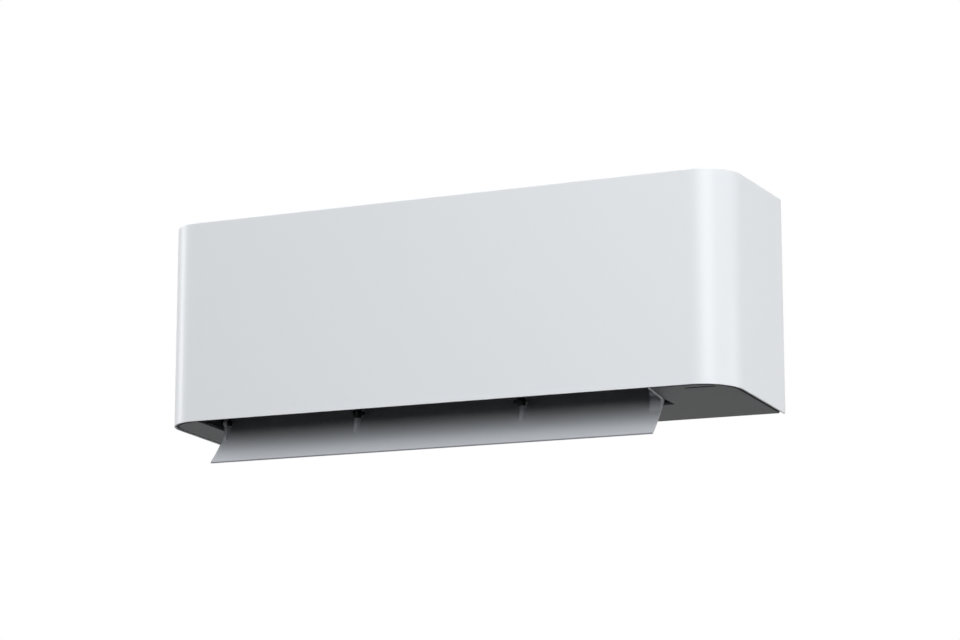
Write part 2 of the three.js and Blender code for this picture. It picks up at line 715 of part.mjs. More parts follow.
function pipe({ radius, start, lane, level, drop }) {
  const points = [
    [COIL_RIGHT + 6, start.x, start.y],
    [drop - 9, start.x, start.y],
    [drop, start.x, start.y - 9],
    [drop, mix(start.x, lane, 0.5), start.y - 32],
    [drop, lane, start.y - 60],
    [drop, lane, level + 22],
    [drop - 6, lane, level + 6],
    [drop - 22, lane, level],
    [drop - 80, lane, level],
    [PIPE_END_X + 60, lane, level],
    [PIPE_END_X, lane, level],
  ].map((point) => new THREE.Vector3(...point));
  return tubeThrough(points, radius, 8, 30);
}

function flareNut({ radius, lane, level }, across) {
  const hex = new THREE.Shape();
  for (let i = 0; i < 6; i += 1) {
    const angle = (Math.PI * i) / 3;
    const put = i ? "lineTo" : "moveTo";
    hex[put](lane + across * Math.cos(angle), level + across * Math.sin(angle));
  }
  hex.closePath();
  const bore = new THREE.Path();
  bore.absarc(lane, level, radius + 0.4, 0, 2 * Math.PI, true);
  hex.holes.push(bore);
  return prismX(hex, PIPE_END_X - 6, PIPE_END_X + 16, 8);
}

// ---------- flap ----------

function flapCentre() {
  const half = (FLAP_REAR - FLAP_FRONT) / 2;
  const radius = (half * half + FLAP_SAG * FLAP_SAG) / (2 * FLAP_SAG);
  return { x: (FLAP_REAR + FLAP_FRONT) / 2, z: FLAP_RISE - FLAP_SAG + radius, radius, half };
}

function flapBlade() {
  const { x, z, radius, half } = flapCentre();
  const swing = Math.asin(half / radius);
  const rear = 1.5 * Math.PI + swing;
  const front = 1.5 * Math.PI - swing;
  const shape = new THREE.Shape();
  shape.absarc(x, z, radius, front, rear, false);
  shape.absarc(x, z, radius + FLAP_SHEET, rear, front, true);
  shape.closePath();
  return prismX(shape, FLAP_LEFT, FLAP_RIGHT, 8);
}

// An arm that grows from the blade to the hub on the pivot
function flapArm(x0, x1) {
  const root = FLAP_RISE - FLAP_SAG - 1;
  const shape = new THREE.Shape();
  shape.moveTo(-24, root);
  shape.lineTo(16, root);
  shape.quadraticCurveTo(7, root + 3, FLAP_HUB_RADIUS * 0.94, -2);
  shape.absarc(0, 0, FLAP_HUB_RADIUS, -0.34, Math.PI + 0.34, false);
  shape.quadraticCurveTo(-8, root + 3, -24, root);
  return prismX(shape, x0, x1, 8);
}

function flap() {
  const pin = (x0, x1) => rodX(FLAP_PIN_RADIUS, x0, x1, 0, 0, 10);
  const half = FLAP_ARM / 2;
  return join(
    flapBlade(),
    flapArm(FLAP_LEFT, FLAP_LEFT + FLAP_ARM),
    flapArm(FLAP_ARM_LEFT - half, FLAP_ARM_LEFT + half),
    flapArm(FLAP_ARM_RIGHT - half, FLAP_ARM_RIGHT + half),
    flapArm(FLAP_RIGHT - FLAP_DRIVEN_END, FLAP_RIGHT),
    rodX(FLAP_HUB_RADIUS - 1, FLAP_LEFT + 1, FLAP_LEFT + 9, 0, 0, 12),
    pin(FLAP_LEFT - 7, FLAP_LEFT + 1),
    pin(FLAP_ARM_LEFT, FLAP_ARM_LEFT + 8),
    pin(FLAP_ARM_RIGHT - 8, FLAP_ARM_RIGHT),
    pin(FLAP_RIGHT - 1, FLAP_RIGHT + 14),
  );
}

// Fixed bearing plate beside a middle arm, its foot under the front wall of the duct
function flapSupport(x0, x1) {
  const line = frontWallLine();
  const foot = [line[2], line[3]].map((point) => point.clone());
  const along = foot[1].clone().sub(foot[0]).normalize();
  const inward = V2(-along.y, along.x);
  const near = foot.map((point) => point.clone().addScaledVector(inward, 0.5));
  const shape = new THREE.Shape();
  shape.moveTo(near[0].x, near[0].y);
  shape.lineTo(near[1].x, near[1].y);
  shape.lineTo(FLAP_PIVOT_Y - 6, FLAP_PIVOT_Z);
  shape.absarc(FLAP_PIVOT_Y, FLAP_PIVOT_Z, 6, Math.PI, 2.35 * Math.PI, false);
  shape.closePath();
  const bore = rodX(FLAP_PIN_RADIUS + SEAT, x0 - 5, x1 + 5, FLAP_PIVOT_Y, FLAP_PIVOT_Z, 10);
  const pad = new THREE.Shape([near[0], near[1], near[1].clone().addScaledVector(inward, 2),
    near[0].clone().addScaledVector(inward, 2)]);
  return join(cut(prismX(shape, x0, x1, 8), bore), prismX(pad, x0 - 4, x1 + 4));
}

// Step motor whose output shaft sits near the edge of its can
function stepMotor(radius, length, offset, boreRadius) {
  const can = rodZ(radius, -length, 0, 0, -offset, 20);
  const boss = rodZ(4.4, -1, 1.5, 0, 0, 12);
  const ears = box(-radius - 6, radius + 6, -offset - 3.5, -offset + 3.5, -2.2, 0);
  const screwHoles = [-1, 1].map((side) => rodZ(1.6, -5, 5, side * (radius + 3), -offset, 8));
  const bore = rodZ(boreRadius, -9, 5, 0, 0, 10);
  return cut(join(can, boss, ears), bore, ...screwHoles);
}

// ---------- vanes ----------

function vane(driven) {
  const half = VANE_HALF_WIDTH;
  const shape = new THREE.Shape();
  shape.moveTo(-half, 4);
  shape.lineTo(-4, 1);
  shape.lineTo(half - 4, 1);
  shape.lineTo(half - 2, 6);
  shape.lineTo(8, 6);
  shape.lineTo(8, 12);
  shape.lineTo(half, 12);
  shape.lineTo(half, VANE_HEIGHT - 8);
  shape.absarc(half - 8, VANE_HEIGHT - 8, 8, 0, Math.PI / 2, false);
  shape.lineTo(-half + 6, VANE_HEIGHT);
  shape.absarc(-half + 6, VANE_HEIGHT - 6, 6, Math.PI / 2, Math.PI, false);
  shape.closePath();
  const plate = prismX(shape, -VANE_SHEET / 2, VANE_SHEET / 2, 1);
  const stemEnd = driven ? -8 : -4;
  return join(
    plate,
    rodZ(5, 0.4, 2, 0, 0, 8),
    rodZ(VANE_STEM_RADIUS, stemEnd, 1, 0, 0, 6),
    rodZ(LINK_PIN_RADIUS, 5, 13, 0, LINK_PIN_AT, 6),
  );
}

function vaneLink(xs) {
  const low = Math.min(...xs) - 5;
  const high = Math.max(...xs) + 5;
  const bar = polygon([[low, LINK_PIN_AT - 2.6], [high, LINK_PIN_AT - 2.6], [high, LINK_PIN_AT + 2.6],
    [low, LINK_PIN_AT + 2.6]]);
  for (const x of xs) {
    const hole = new THREE.Path();
    hole.absarc(x, LINK_PIN_AT, LINK_PIN_RADIUS + 0.4, 0, 2 * Math.PI, true);
    bar.holes.push(hole);
  }
  return prismZ(bar, 7.5, 10.5, 4);
}

// ---------- electrical parts ----------

const CASE = { x0: 325, x1: 409, y0: -196, y1: -150, z0: -50, z1: 112, wall: 2 };

function controlCase() {
  const { x0, x1, y0, y1, z0, z1, wall } = CASE;
  const outside = box(x0, x1, y0, y1, z0, z1);
  const inside = box(x0 + wall, x1 - wall, y0 - 5, y1 - wall, z0 + wall, z1 - wall);
  const wireGap = box(x0 + 30, x1 - 30, y0 - 5, y0 + 14, z0 - 5, z0 + 5);
  return cut(outside, inside, wireGap);
}

function controlLid() {
  const { x0, x1, y0, z0, z1, wall } = CASE;
  const plate = box(x0, x1, y0 - wall - SEAT, y0 - SEAT, z0, z1);
  const vents = [0, 1, 2, 3, 4].map((i) =>
    box(x0 + 20, x1 - 20, y0 - 10, y0 + 5, z1 - 24 - 9 * i, z1 - 20 - 9 * i));
  return cut(plate, ...vents);
}

function controlBoard() {
  const { x0, x1, y1, z0, z1, wall } = CASE;
  const back = y1 - wall - 6;
  const board = box(x0 + 4, x1 - 4, back - 1.6, back, z0 + 5, z1 - 5);
  return join(
    board,
    ...[[x0 + 12, z0 + 14], [x1 - 12, z0 + 14], [x0 + 12, z1 - 14], [x1 - 12, z1 - 14]].map(([x, z]) =>
      rodY(3, back - 1, back + 5.7, x, z, 8)),
    rodY(9, back - 27, back - 1, x0 + 22, z1 - 40, 16),
    rodY(6, back - 18, back - 1, x0 + 46, z1 - 30, 12),
    box(x0 + 14, x0 + 42, back - 20, back - 1, z0 + 60, z0 + 76),
    box(x0 + 50, x0 + 76, back - 17, back - 1, z0 + 54, z0 + 72),
    box(x0 + 12, x0 + 48, back - 28, back - 1, z0 + 16, z0 + 46),
    box(x0 + 60, x0 + 80, back - 4, back - 1, z1 - 60, z1 - 40),
    box(x0 + 54, x0 + 82, back - 11, back - 1, z0 + 12, z0 + 20),
  );
}

function terminalBlock() {
  const x0 = 338;
  const x1 = 402;
  const base = box(x0, x1, -192, -156, -84, -74);
  const ways = 5;
  const pitch = (x1 - x0 - 2) / ways;
  const barriers = Array.from({ length: ways + 1 }, (_, i) =>
    box(x0 + i * pitch, x0 + i * pitch + 2, -190, -158, -75, -60));
  const screws = Array.from({ length: ways }, (_, i) =>
    rodZ(3.6, -75, -70, x0 + 1 + (i + 0.5) * pitch, -174, 8));
  const legs = [box(x0, x0 + 8, -166, -156, -142, -74), box(x1 - 8, x1, -166, -156, -142, -74)];
  return join(base, ...barriers, ...screws, ...legs);
}

function receiverWindow() {
  const low = underside(WINDOW_Y) + SEAT;
  const lens = box(WINDOW_X - WINDOW_HALF_LENGTH, WINDOW_X + WINDOW_HALF_LENGTH,
    WINDOW_Y - WINDOW_HALF_WIDTH, WINDOW_Y + WINDOW_HALF_WIDTH, low + 0.4, low + PANEL_SHEET + 1.5);
  const flange = box(WINDOW_X - 22.3, WINDOW_X + 22.3, WINDOW_Y - 3.2, WINDOW_Y + 3.2,
    low + PANEL_SHEET + 0.8, low + PANEL_SHEET + 2.2);
  return join(lens, flange);
}

function receiverBoard() {
  const low = underside(WINDOW_Y) + SEAT + PANEL_SHEET + 0.9;
  const board = box(WINDOW_X - 27, WINDOW_X + 27, WINDOW_Y - 5, WINDOW_Y + 9, low + 10, low + 11.6);
  const legs = [-22, 22].map((x) => rodZ(2, low - 0.4, low + 10.5, WINDOW_X + x, WINDOW_Y + 7.4, 8));
  const eye = rodZ(3, low + 3, low + 10.5, WINDOW_X - 12, WINDOW_Y, 10);
  const lamps = [2, 9, 16].map((x) => rodZ(1.4, low + 5, low + 10.5, WINDOW_X + x, WINDOW_Y, 8));
  return join(board, ...legs, eye, ...lamps);
}

// ---------- the assembly ----------

place("wall_plate", wallPlate(), ZINC);
place("chassis", chassis(), BLACK);
place("front_cover", frontCover(), WHITE);
place("bottom_panel", bottomPanel(), DARK_GREY);
place("top_frame", topFrame(), WHITE);
place("air_filter_left", airFilter(-370, -33.5), FILTER_GREY);
place("air_filter_right", airFilter(-29.5, 307), FILTER_GREY);
place("drain_pan", drainPan(), BLACK);

for (const [name, slab] of Object.entries(COIL_SLABS)) {
  place(`evaporator_${name}`, coilSlab(slab), ALUMINIUM);
}
const LEFT_BENDS = { front: [0.25, 0.72], upper: [0.28, 0.72], rear: [0.28, 0.74] };
const RIGHT_BENDS = { front: [0.25, 0.72], upper: [0.5], rear: [0.28] };
place("tube_plate_left", tubePlate(COIL_LEFT - SEAT - TUBE_SHEET, -1, LEFT_BENDS), ALUMINIUM);
place("tube_plate_right", tubePlate(COIL_RIGHT + SEAT, 1, RIGHT_BENDS), ALUMINIUM);

const { from: REAR_TOP, to: REAR_FOOT } = COIL_SLABS.rear;
const GAS = { radius: 6.35, lane: -32, level: -92, drop: 326, start: REAR_TOP.clone().lerp(REAR_FOOT, 0.93) };
const LIQUID = { radius: 4, lane: -17, level: -114, drop: 337.5, start: REAR_TOP.clone().lerp(REAR_FOOT, 0.66) };
place("gas_pipe", pipe(GAS), COPPER);
place("liquid_pipe", pipe(LIQUID), COPPER);
place("gas_flare_nut", flareNut(GAS, 13), BRASS);
place("liquid_flare_nut", flareNut(LIQUID, 9.5), BRASS);

place("cross_flow_fan", crossFlowFan(), BLACK);
place("fan_motor", fanMotor(), ZINC);
place("motor_clamp", motorClamp(), WHITE);
place("fan_bearing", fanBearing(), RUBBER);
place("bearing_cap", bearingCap(), WHITE);

const flapGroup = new THREE.Group();
flapGroup.position.set(0, FLAP_PIVOT_Y, FLAP_PIVOT_Z);
flapGroup.rotation.x = FLAP_OPEN;
unit.add(flapGroup);
place("flap", flap(), FLAP_GREY, flapGroup);
place("flap_support_left", flapSupport(FLAP_ARM_LEFT + 2.2, FLAP_ARM_LEFT + 5.2), BLACK);
place("flap_support_right", flapSupport(FLAP_ARM_RIGHT - 5.2, FLAP_ARM_RIGHT - 2.2), BLACK);

// The flap motor's can stands above its shaft, which faces the outlet
const flapMotor = place("flap_motor", stepMotor(14, 19, 8, FLAP_PIN_RADIUS + SEAT), ZINC);
const down = AXIS_Z.clone().negate();
const towardsOutlet = AXIS_X.clone().negate();
flapMotor.setRotationFromMatrix(new THREE.Matrix4().makeBasis(AXIS_Y, down, towardsOutlet));
flapMotor.position.set(BAY_LEFT + 2, FLAP_PIVOT_Y, FLAP_PIVOT_Z);

for (const [side, xs] of [["left", VANE_XS_LEFT], ["right", VANE_XS_RIGHT]]) {
  const row = new THREE.Group();
  row.position.set(0, VANE_BASE.x, VANE_BASE.y);
  row.rotation.x = GUIDE_TILT;
  unit.add(row);
  xs.forEach((x, i) => {
    const blade = place(`vane_${side}_${i + 1}`, vane(i === 0), BLACK, row);
    blade.position.x = x;
  });
  place(`vane_link_${side}`, vaneLink(xs), BLACK, row);
  const motor = place(`vane_motor_${side}`, stepMotor(12, 17, 5, VANE_STEM_RADIUS + SEAT), ZINC, row);
  motor.position.set(xs[0], 0, -WALL_SHEET - 2);
}

place("control_case", controlCase(), WHITE);
place("control_lid", controlLid(), WHITE);
place("control_board", controlBoard(), BOARD_GREEN);
place("terminal_block", terminalBlock(), BLACK);
place("receiver_window", receiverWindow(), SMOKED);
place("receiver_board", receiverBoard(), BOARD_GREEN);

export default unit;
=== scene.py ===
import math

import bmesh
import bpy
from mathutils import Matrix, Vector


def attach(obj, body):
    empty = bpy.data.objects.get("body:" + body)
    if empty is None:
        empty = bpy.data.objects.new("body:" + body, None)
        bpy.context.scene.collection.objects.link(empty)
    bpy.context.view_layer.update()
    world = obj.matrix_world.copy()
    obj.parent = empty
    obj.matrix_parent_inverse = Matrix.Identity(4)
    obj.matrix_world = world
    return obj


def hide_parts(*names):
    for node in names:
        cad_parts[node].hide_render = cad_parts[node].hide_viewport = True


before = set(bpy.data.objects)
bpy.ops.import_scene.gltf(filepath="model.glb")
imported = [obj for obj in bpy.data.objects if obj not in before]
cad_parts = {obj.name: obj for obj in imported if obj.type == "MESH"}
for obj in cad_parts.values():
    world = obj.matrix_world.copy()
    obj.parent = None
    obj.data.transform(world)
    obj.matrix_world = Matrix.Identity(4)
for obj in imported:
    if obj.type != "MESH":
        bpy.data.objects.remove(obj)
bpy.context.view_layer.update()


# ---------------------------------------------------------------------------------------
# The studio. White surroundings that give most of their light from above, a pale floor far
# below the wall unit, one broad lamp in front, a slim one at each end and a soft one low
# behind it. The camera stands low on the right, almost four metres away.
# ---------------------------------------------------------------------------------------
class Wire:
    """An output in a node tree. Arithmetic on it adds Math nodes."""

    def __init__(self, tree, socket=None):
        self.tree = tree
        self.socket = socket

    def node(self, kind, settings=None, inputs=None, output=0):
        """Adds a node: its settings first, then the values or links of its sockets."""
        made = self.tree.nodes.new("ShaderNode" + kind)
        for name, value in (settings or {}).items():
            setattr(made, name, value)
        for name, value in (inputs or {}).items():
            if isinstance(value, Wire):
                self.tree.links.new(value.socket, made.inputs[name])
            else:
                made.inputs[name].default_value = value
        return Wire(self.tree, made.outputs[output])

    def maths(self, operation, first, second):
        return self.node("Math", {"operation": operation}, {0: first, 1: second})

    def mix(self, first, second):
        """The first colour where this value is 0 and the second where it is 1."""
        return self.node("Mix", {"data_type": "RGBA"}, {0: self, 6: first, 7: second}, 2)

    def __add__(self, other):
        return self.maths("ADD", self, other)

    def __radd__(self, other):
        return self.maths("ADD", other, self)

    def __mul__(self, other):
        return self.maths("MULTIPLY", self, other)

    def __rmul__(self, other):
        return self.maths("MULTIPLY", other, self)

    def __gt__(self, other):
        return self.maths("GREATER_THAN", self, other)


SCREEN_GAMMA = 2.2


def tone(red, green, blue):
    """A colour given as it shows on a screen, 0 to 255, turned into light."""
    return (*((part / 255) ** SCREEN_GAMMA for part in (red, green, blue)), 1.0)


scene = bpy.context.scene
scene.view_settings.view_transform = "Standard"

CAMERA_PLACE = (1.60084, -3.45219, -0.71652)
CAMERA_TURN = (100.7946, 0, 25.2896)
SENSOR_WIDTH = 36
LENS = 100.979
camera = bpy.data.objects.new("camera", bpy.data.cameras.new("camera"))
camera.location = CAMERA_PLACE
camera.rotation_euler = [math.radians(angle) for angle in CAMERA_TURN]
camera.data.sensor_width = SENSOR_WIDTH
camera.data.lens = LENS
scene.collection.objects.link(camera)
scene.camera = camera

# The surroundings as lamps see them: the light from below and from overhead, and the heights
# of the view's direction between which one becomes the other. The camera sees plain white.
LOW_SKY = (0.04, 0.04, 0.04, 1)
HIGH_SKY = (0.98, 0.99, 1.0, 1)
SKY_TURN = (-0.1, 0.5)
WHITE = (1, 1, 1, 1)
surroundings = bpy.data.worlds.new("surroundings")
surroundings.use_nodes = True
scene.world = surroundings
sky = Wire(surroundings.node_tree)
seen = sum((sky.node("LightPath", output=ray) for ray in
            ("Is Camera Ray", "Is Glossy Ray", "Is Transmission Ray")), 0)
direction = sky.node("TexCoord", output="Generated")
climb = sky.node("SeparateXYZ", None, {"Vector": direction}, 2)
overhead = sky.node("MapRange", {"interpolation_type": "SMOOTHSTEP"},
                    {0: climb, 1: SKY_TURN[0], 2: SKY_TURN[1]})
glow = seen.mix(overhead.mix(LOW_SKY, HIGH_SKY), WHITE)
sky_light = surroundings.node_tree.nodes["Background"]
surroundings.node_tree.links.new(glow.socket, sky_light.inputs["Color"])

# Each lamp: where it hangs, how wide and high it is, and its power; all face the unit
LAMPS = {
    "front_lamp": ((1.9, -3.0, 1.05), (2.0, 2.4), 64),
    "right_lamp": ((3.1, 0.6, -0.5), (0.9, 1.8), 14),
    "left_lamp": ((-3.0, -0.35, 0.6), (0.7, 1.6), 22),
    "low_rear_lamp": ((-0.7, 2.2, -1.7), (4.6, 1.4), 22),
}
for name, (place, (width, height), power) in LAMPS.items():
    lamp = bpy.data.objects.new(name, bpy.data.lights.new(name, "AREA"))
    lamp.data.shape = "RECTANGLE"
    lamp.data.size = width
    lamp.data.size_y = height
    lamp.data.energy = power
    lamp.location = place
    lamp.rotation_euler = (-Vector(place)).to_track_quat("-Z", "Y").to_euler()
    scene.collection.objects.link(lamp)

# The floor stays dark for light that bounces off it, and pale for the camera
FLOOR_Z = -5.0
FLOOR_RADIUS = 40
FLOOR_ROUGHNESS = 0.9
FLOOR_GLOW = 0.6
FLOOR_TONES = {"Base Color": (0.05, 0.8), "Emission Color": (0.0, 1.0)}
floor_paint = bpy.data.materials.new("pale_floor")
floor_paint.use_nodes = True
floor_wire = Wire(floor_paint.node_tree)
floor_seen = floor_wire.node("LightPath", output="Is Camera Ray")
floor_shader = floor_paint.node_tree.nodes["Principled BSDF"]
floor_shader.inputs["Roughness"].default_value = FLOOR_ROUGHNESS
floor_shader.inputs["Emission Strength"].default_value = FLOOR_GLOW
for socket, (low, high) in FLOOR_TONES.items():
    paint = floor_seen.mix((low, low, low, 1), (high, high, high, 1))
    floor_paint.node_tree.links.new(paint.socket, floor_shader.inputs[socket])
ground = bmesh.new()
bmesh.ops.create_circle(ground, cap_ends=True, segments=96, radius=FLOOR_RADIUS)
bmesh.ops.translate(ground, verts=ground.verts, vec=(0, 0, FLOOR_Z))
floor_mesh = bpy.data.meshes.new("floor")
ground.to_mesh(floor_mesh)
ground.free()
floor_mesh.materials.append(floor_paint)
floor = bpy.data.objects.new("floor", floor_mesh)
scene.collection.objects.link(floor)


# ---------------------------------------------------------------------------------------
# Wall plate. Zinc-plated sheet steel, pressed and pierced, screwed to the wall through its
# round holes. The chassis hangs on its three folded hooks.
# ---------------------------------------------------------------------------------------
def blank(name, **plain):
    """A material with its plain values set on the shader; gives the shader and a wire."""
    material = bpy.data.materials.new(name)
    material.use_nodes = True
    shader = material.node_tree.nodes["Principled BSDF"]
    for socket, value in plain.items():
        shader.inputs[socket.replace("_", " ")].default_value = value
    return material, shader, Wire(material.node_tree)


def feed(shader, socket, wire):
    """Lets a wire drive one socket of the shader."""
    wire.tree.links.new(wire.socket, shader.inputs[socket])


def bump(shader, height, distance):
    """Small relief: heights from 0 to 1 over a distance in metres."""
    feed(shader, "Normal", height.node("Bump", None, {"Height": height, "Distance": distance}))


def metal(name, low, high, roughness, grain, stretch=(1, 1, 1), depth=0.00002):
    """Bare metal: two tones drifting into each other, with the marks of its rolling."""
    material, shader, wire = blank(name, Metallic=1.0)
    spot = wire.node("TexCoord", output="Object")
    along = wire.node("Mapping", None, {"Vector": spot, "Scale": stretch})
    marks = wire.node("TexNoise", None, {"Vector": along, "Scale": grain, "Detail": 4.0})
    cloud = wire.node("TexNoise", None, {"Vector": spot, "Scale": 14.0, "Detail": 2.0})
    feed(shader, "Base Color", (marks * 0.6 + cloud * 0.4).mix(low, high))
    feed(shader, "Roughness", marks * 0.16 + cloud * 0.1 + (roughness - 0.13))
    bump(shader, marks, depth)
    return material


def dress(material, *names):
    """Gives the CAD nodes of these names a finish."""
    for name in names:
        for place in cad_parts[name].material_slots:
            place.material = material


SAME_POINT = 2e-6
CREASE = math.radians(35)


def piece(name, mesh, material, body, stands_for=()):
    """Closes a mesh, sets its shading and hands it to its body."""
    bmesh.ops.remove_doubles(mesh, verts=mesh.verts, dist=SAME_POINT)
    bmesh.ops.recalc_face_normals(mesh, faces=mesh.faces)
    for face in mesh.faces:
        face.smooth = True
    for edge in mesh.edges:
        edge.smooth = len(edge.link_faces) == 2 and edge.calc_face_angle() < CREASE
    data = bpy.data.meshes.new(name)
    mesh.to_mesh(data)
    mesh.free()
    data.materials.append(material)
    made = bpy.data.objects.new(name, data)
    scene.collection.objects.link(made)
    made.modifiers.new("even_shading", "WEIGHTED_NORMAL").keep_sharp = True
    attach(made, body)
    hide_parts(*stands_for)


def verts_of(geometry):
    return [part for part in geometry if isinstance(part, bmesh.types.BMVert)]


def flat_face(mesh, points):
    """One flat face from its corners."""
    return mesh.faces.new([mesh.verts.new(point) for point in points])


def push(mesh, faces, by):
    """Runs faces out along a line and leaves a solid behind them; gives its vertices."""
    start = {vert for face in faces for vert in face.verts}
    moved = verts_of(bmesh.ops.extrude_face_region(mesh, geom=faces)["geom"])
    bmesh.ops.translate(mesh, verts=moved, vec=by)
    return list(start) + moved


def rounded(mesh, edges, radius, segments=3):
    """Rounds edges off."""
    bmesh.ops.bevel(mesh, geom=edges, offset=radius, offset_type="OFFSET", segments=segments,
                    profile=0.5, material=-1, affect="EDGES", clamp_overlap=True)


def rounded_corners(mesh, corners, radius, segments=6):
    """Rounds the corners of a flat face off."""
    bmesh.ops.bevel(mesh, geom=corners, offset=radius, offset_type="OFFSET", segments=segments,
                    profile=0.5, material=-1, affect="VERTICES", clamp_overlap=True)


def slit(mesh, point, normal):
    """Cuts every face along a plane and leaves both sides."""
    everything = mesh.verts[:] + mesh.edges[:] + mesh.faces[:]
    bmesh.ops.bisect_plane(mesh, geom=everything, plane_co=point, plane_no=normal)


def mark_out(mesh, low, high):
    """Slits a flat plan along the four sides of a rectangle; gives the faces inside it."""
    for corner in (low, high):
        slit(mesh, (corner[0], 0, 0), (1, 0, 0))
        slit(mesh, (0, corner[1], 0), (0, 1, 0))
    return [face for face in mesh.faces
            if low[0] < face.calc_center_median().x < high[0]
            and low[1] < face.calc_center_median().y < high[1]]


def take_out(mesh, low, high):
    """Cuts a rectangle out of a flat plan."""
    bmesh.ops.delete(mesh, geom=mark_out(mesh, low, high), context="FACES")


def pierce(mesh, centre, radius):
    """Makes a round hole in a flat plan, in a square taken out round it."""
    reach = radius * 1.5
    low = (centre[0] - reach, centre[1] - reach)
    high = (centre[0] + reach, centre[1] + reach)
    take_out(mesh, low, high)
    rim = [edge for edge in mesh.edges if edge.is_boundary and all(
        max(abs(vert.co.x - centre[0]), abs(vert.co.y - centre[1])) < reach + SAME_POINT
        for vert in edge.verts)]
    ring = bmesh.ops.create_circle(mesh, segments=24, radius=radius)["verts"]
    bmesh.ops.translate(mesh, verts=ring, vec=(*centre, 0))
    ring_edges = list({edge for vert in ring for edge in vert.link_edges})
    bmesh.ops.bridge_loops(mesh, edges=rim + ring_edges)


PLATE_SHEET = 0.0015
PLATE_OUTLINE = [(-0.350, -0.060), (-0.270, -0.060), (-0.255, -0.132), (-0.195, -0.132),
                 (-0.180, -0.060), (0.180, -0.060), (0.195, -0.132), (0.255, -0.132),
                 (0.270, -0.060), (0.350, -0.060), (0.350, 0.070), (0.300, 0.125),
                 (-0.300, 0.125), (-0.350, 0.070)]
PLATE_CORNER = 0.007
WINDOW_X, WINDOW_HALF, WINDOW_LEVELS = 0.150, 0.040, (-0.025, 0.055)
SCREW_XS, SCREW_LEVELS, SCREW_RADIUS = (0.060, 0.300), (-0.045, 0.075), 0.0035
RIB_X, RIB_HALF, RIB_LEVELS = 0.245, 0.035, ((-0.018, -0.006), (0.036, 0.048))
RIB_SIDE, RIB_RISE = 0.003, 0.0012
HOOK_XS, HOOK_HALF, HOOK_Z = (-0.230, 0, 0.230), 0.018, 0.108
HOOK_OUT, HOOK_UP, HOOK_TIP = 0.009, 0.010, 0.004
LEDGE_XS, LEDGE_HALF, LEDGE_OUT, LEDGE_Z = (-0.225, 0.225), 0.020, 0.007, -0.132
PLATE_FRONT = 0.0013

# Drawn lying down, as (across, up), with its thickness upwards, and then stood against the wall
plate = bmesh.new()
flat_face(plate, [(*point, 0) for point in PLATE_OUTLINE])
rounded_corners(plate, plate.verts[:], PLATE_CORNER, 5)
for side in (-1, 1):
    middle = side * WINDOW_X
    take_out(plate, (middle - WINDOW_HALF, WINDOW_LEVELS[0]), (middle + WINDOW_HALF, WINDOW_LEVELS[1]))
    for level in SCREW_LEVELS:
        for across in SCREW_XS:
            pierce(plate, (side * across, level), SCREW_RADIUS)
for side in (-1, 1):
    for low, high in RIB_LEVELS:
        rib = mark_out(plate, (side * RIB_X - RIB_HALF, low), (side * RIB_X + RIB_HALF, high))
        bmesh.ops.inset_region(plate, faces=rib, thickness=RIB_SIDE, depth=RIB_RISE)
push(plate, plate.faces[:], (0, 0, PLATE_SHEET))
UPRIGHT = Matrix.Rotation(math.pi / 2, 3, "X")
bmesh.ops.rotate(plate, verts=plate.verts, cent=(0, 0, 0), matrix=UPRIGHT)
for x in HOOK_XS:
    hook = flat_face(plate, [(x - HOOK_HALF, y, HOOK_Z + z) for y, z in (
        (-PLATE_FRONT, 0), (-HOOK_OUT, 0), (-HOOK_OUT, HOOK_UP), (PLATE_SHEET - HOOK_OUT, HOOK_UP),
        (PLATE_SHEET - HOOK_OUT, PLATE_SHEET), (-PLATE_FRONT, PLATE_SHEET))])
    made = push(plate, [hook], (2 * HOOK_HALF, 0, 0))
    tips = [edge for edge in plate.edges if all(vert in made for vert in edge.verts)
            and all(vert.co.z > HOOK_Z + HOOK_UP - PLATE_SHEET / 2 for vert in edge.verts)
            and abs(edge.verts[0].co.y - edge.verts[1].co.y) > PLATE_SHEET / 2]
    rounded(plate, tips, HOOK_TIP, 4)
for x in LEDGE_XS:
    ledge = flat_face(plate, [(x - LEDGE_HALF, y, LEDGE_Z + z) for y, z in (
        (-PLATE_FRONT, 0), (-LEDGE_OUT, 0), (-LEDGE_OUT, PLATE_SHEET), (-PLATE_FRONT, PLATE_SHEET))])
    push(plate, [ledge], (2 * LEDGE_HALF, 0, 0))

zinc_steel = metal("zinc_plated_steel", tone(150, 154, 158), tone(186, 190, 194), 0.42, 160)
piece("wall_plate_pressing", plate, zinc_steel, "casing", ["wall_plate"])


# ---------------------------------------------------------------------------------------
# Chassis. One large charcoal moulding with a fine eroded skin: the back, the curved rear
# guide of the air duct, two end walls, and webs behind the guide. It hooks on the plate.
# ---------------------------------------------------------------------------------------
def plastic(name, colour, roughness, grain=900.0, depth=0.00003, drift=0.02):
    """Moulded plastic: a fine eroded grain, and faint drifts of tone and of gloss."""
    material, shader, wire = blank(name)
    spot = wire.node("TexCoord", output="Object")
    cloud = wire.node("TexNoise", None, {"Vector": spot, "Scale": 5.0, "Detail": 3.0})
    skin = wire.node("TexNoise", None, {"Vector": spot, "Scale": grain, "Detail": 2.0})
    darker = (*(part * (1 - drift) for part in colour[:3]), 1)
    lighter = (*(min(part * (1 + drift), 1) for part in colour[:3]), 1)
    feed(shader, "Base Color", cloud.mix(darker, lighter))
    feed(shader, "Roughness", cloud * 0.06 + skin * 0.06 + (roughness - 0.06))
    bump(shader, skin, depth)
    return material


charcoal = plastic("charcoal_plastic", tone(66, 68, 71), 0.6)
dress(charcoal, "chassis")

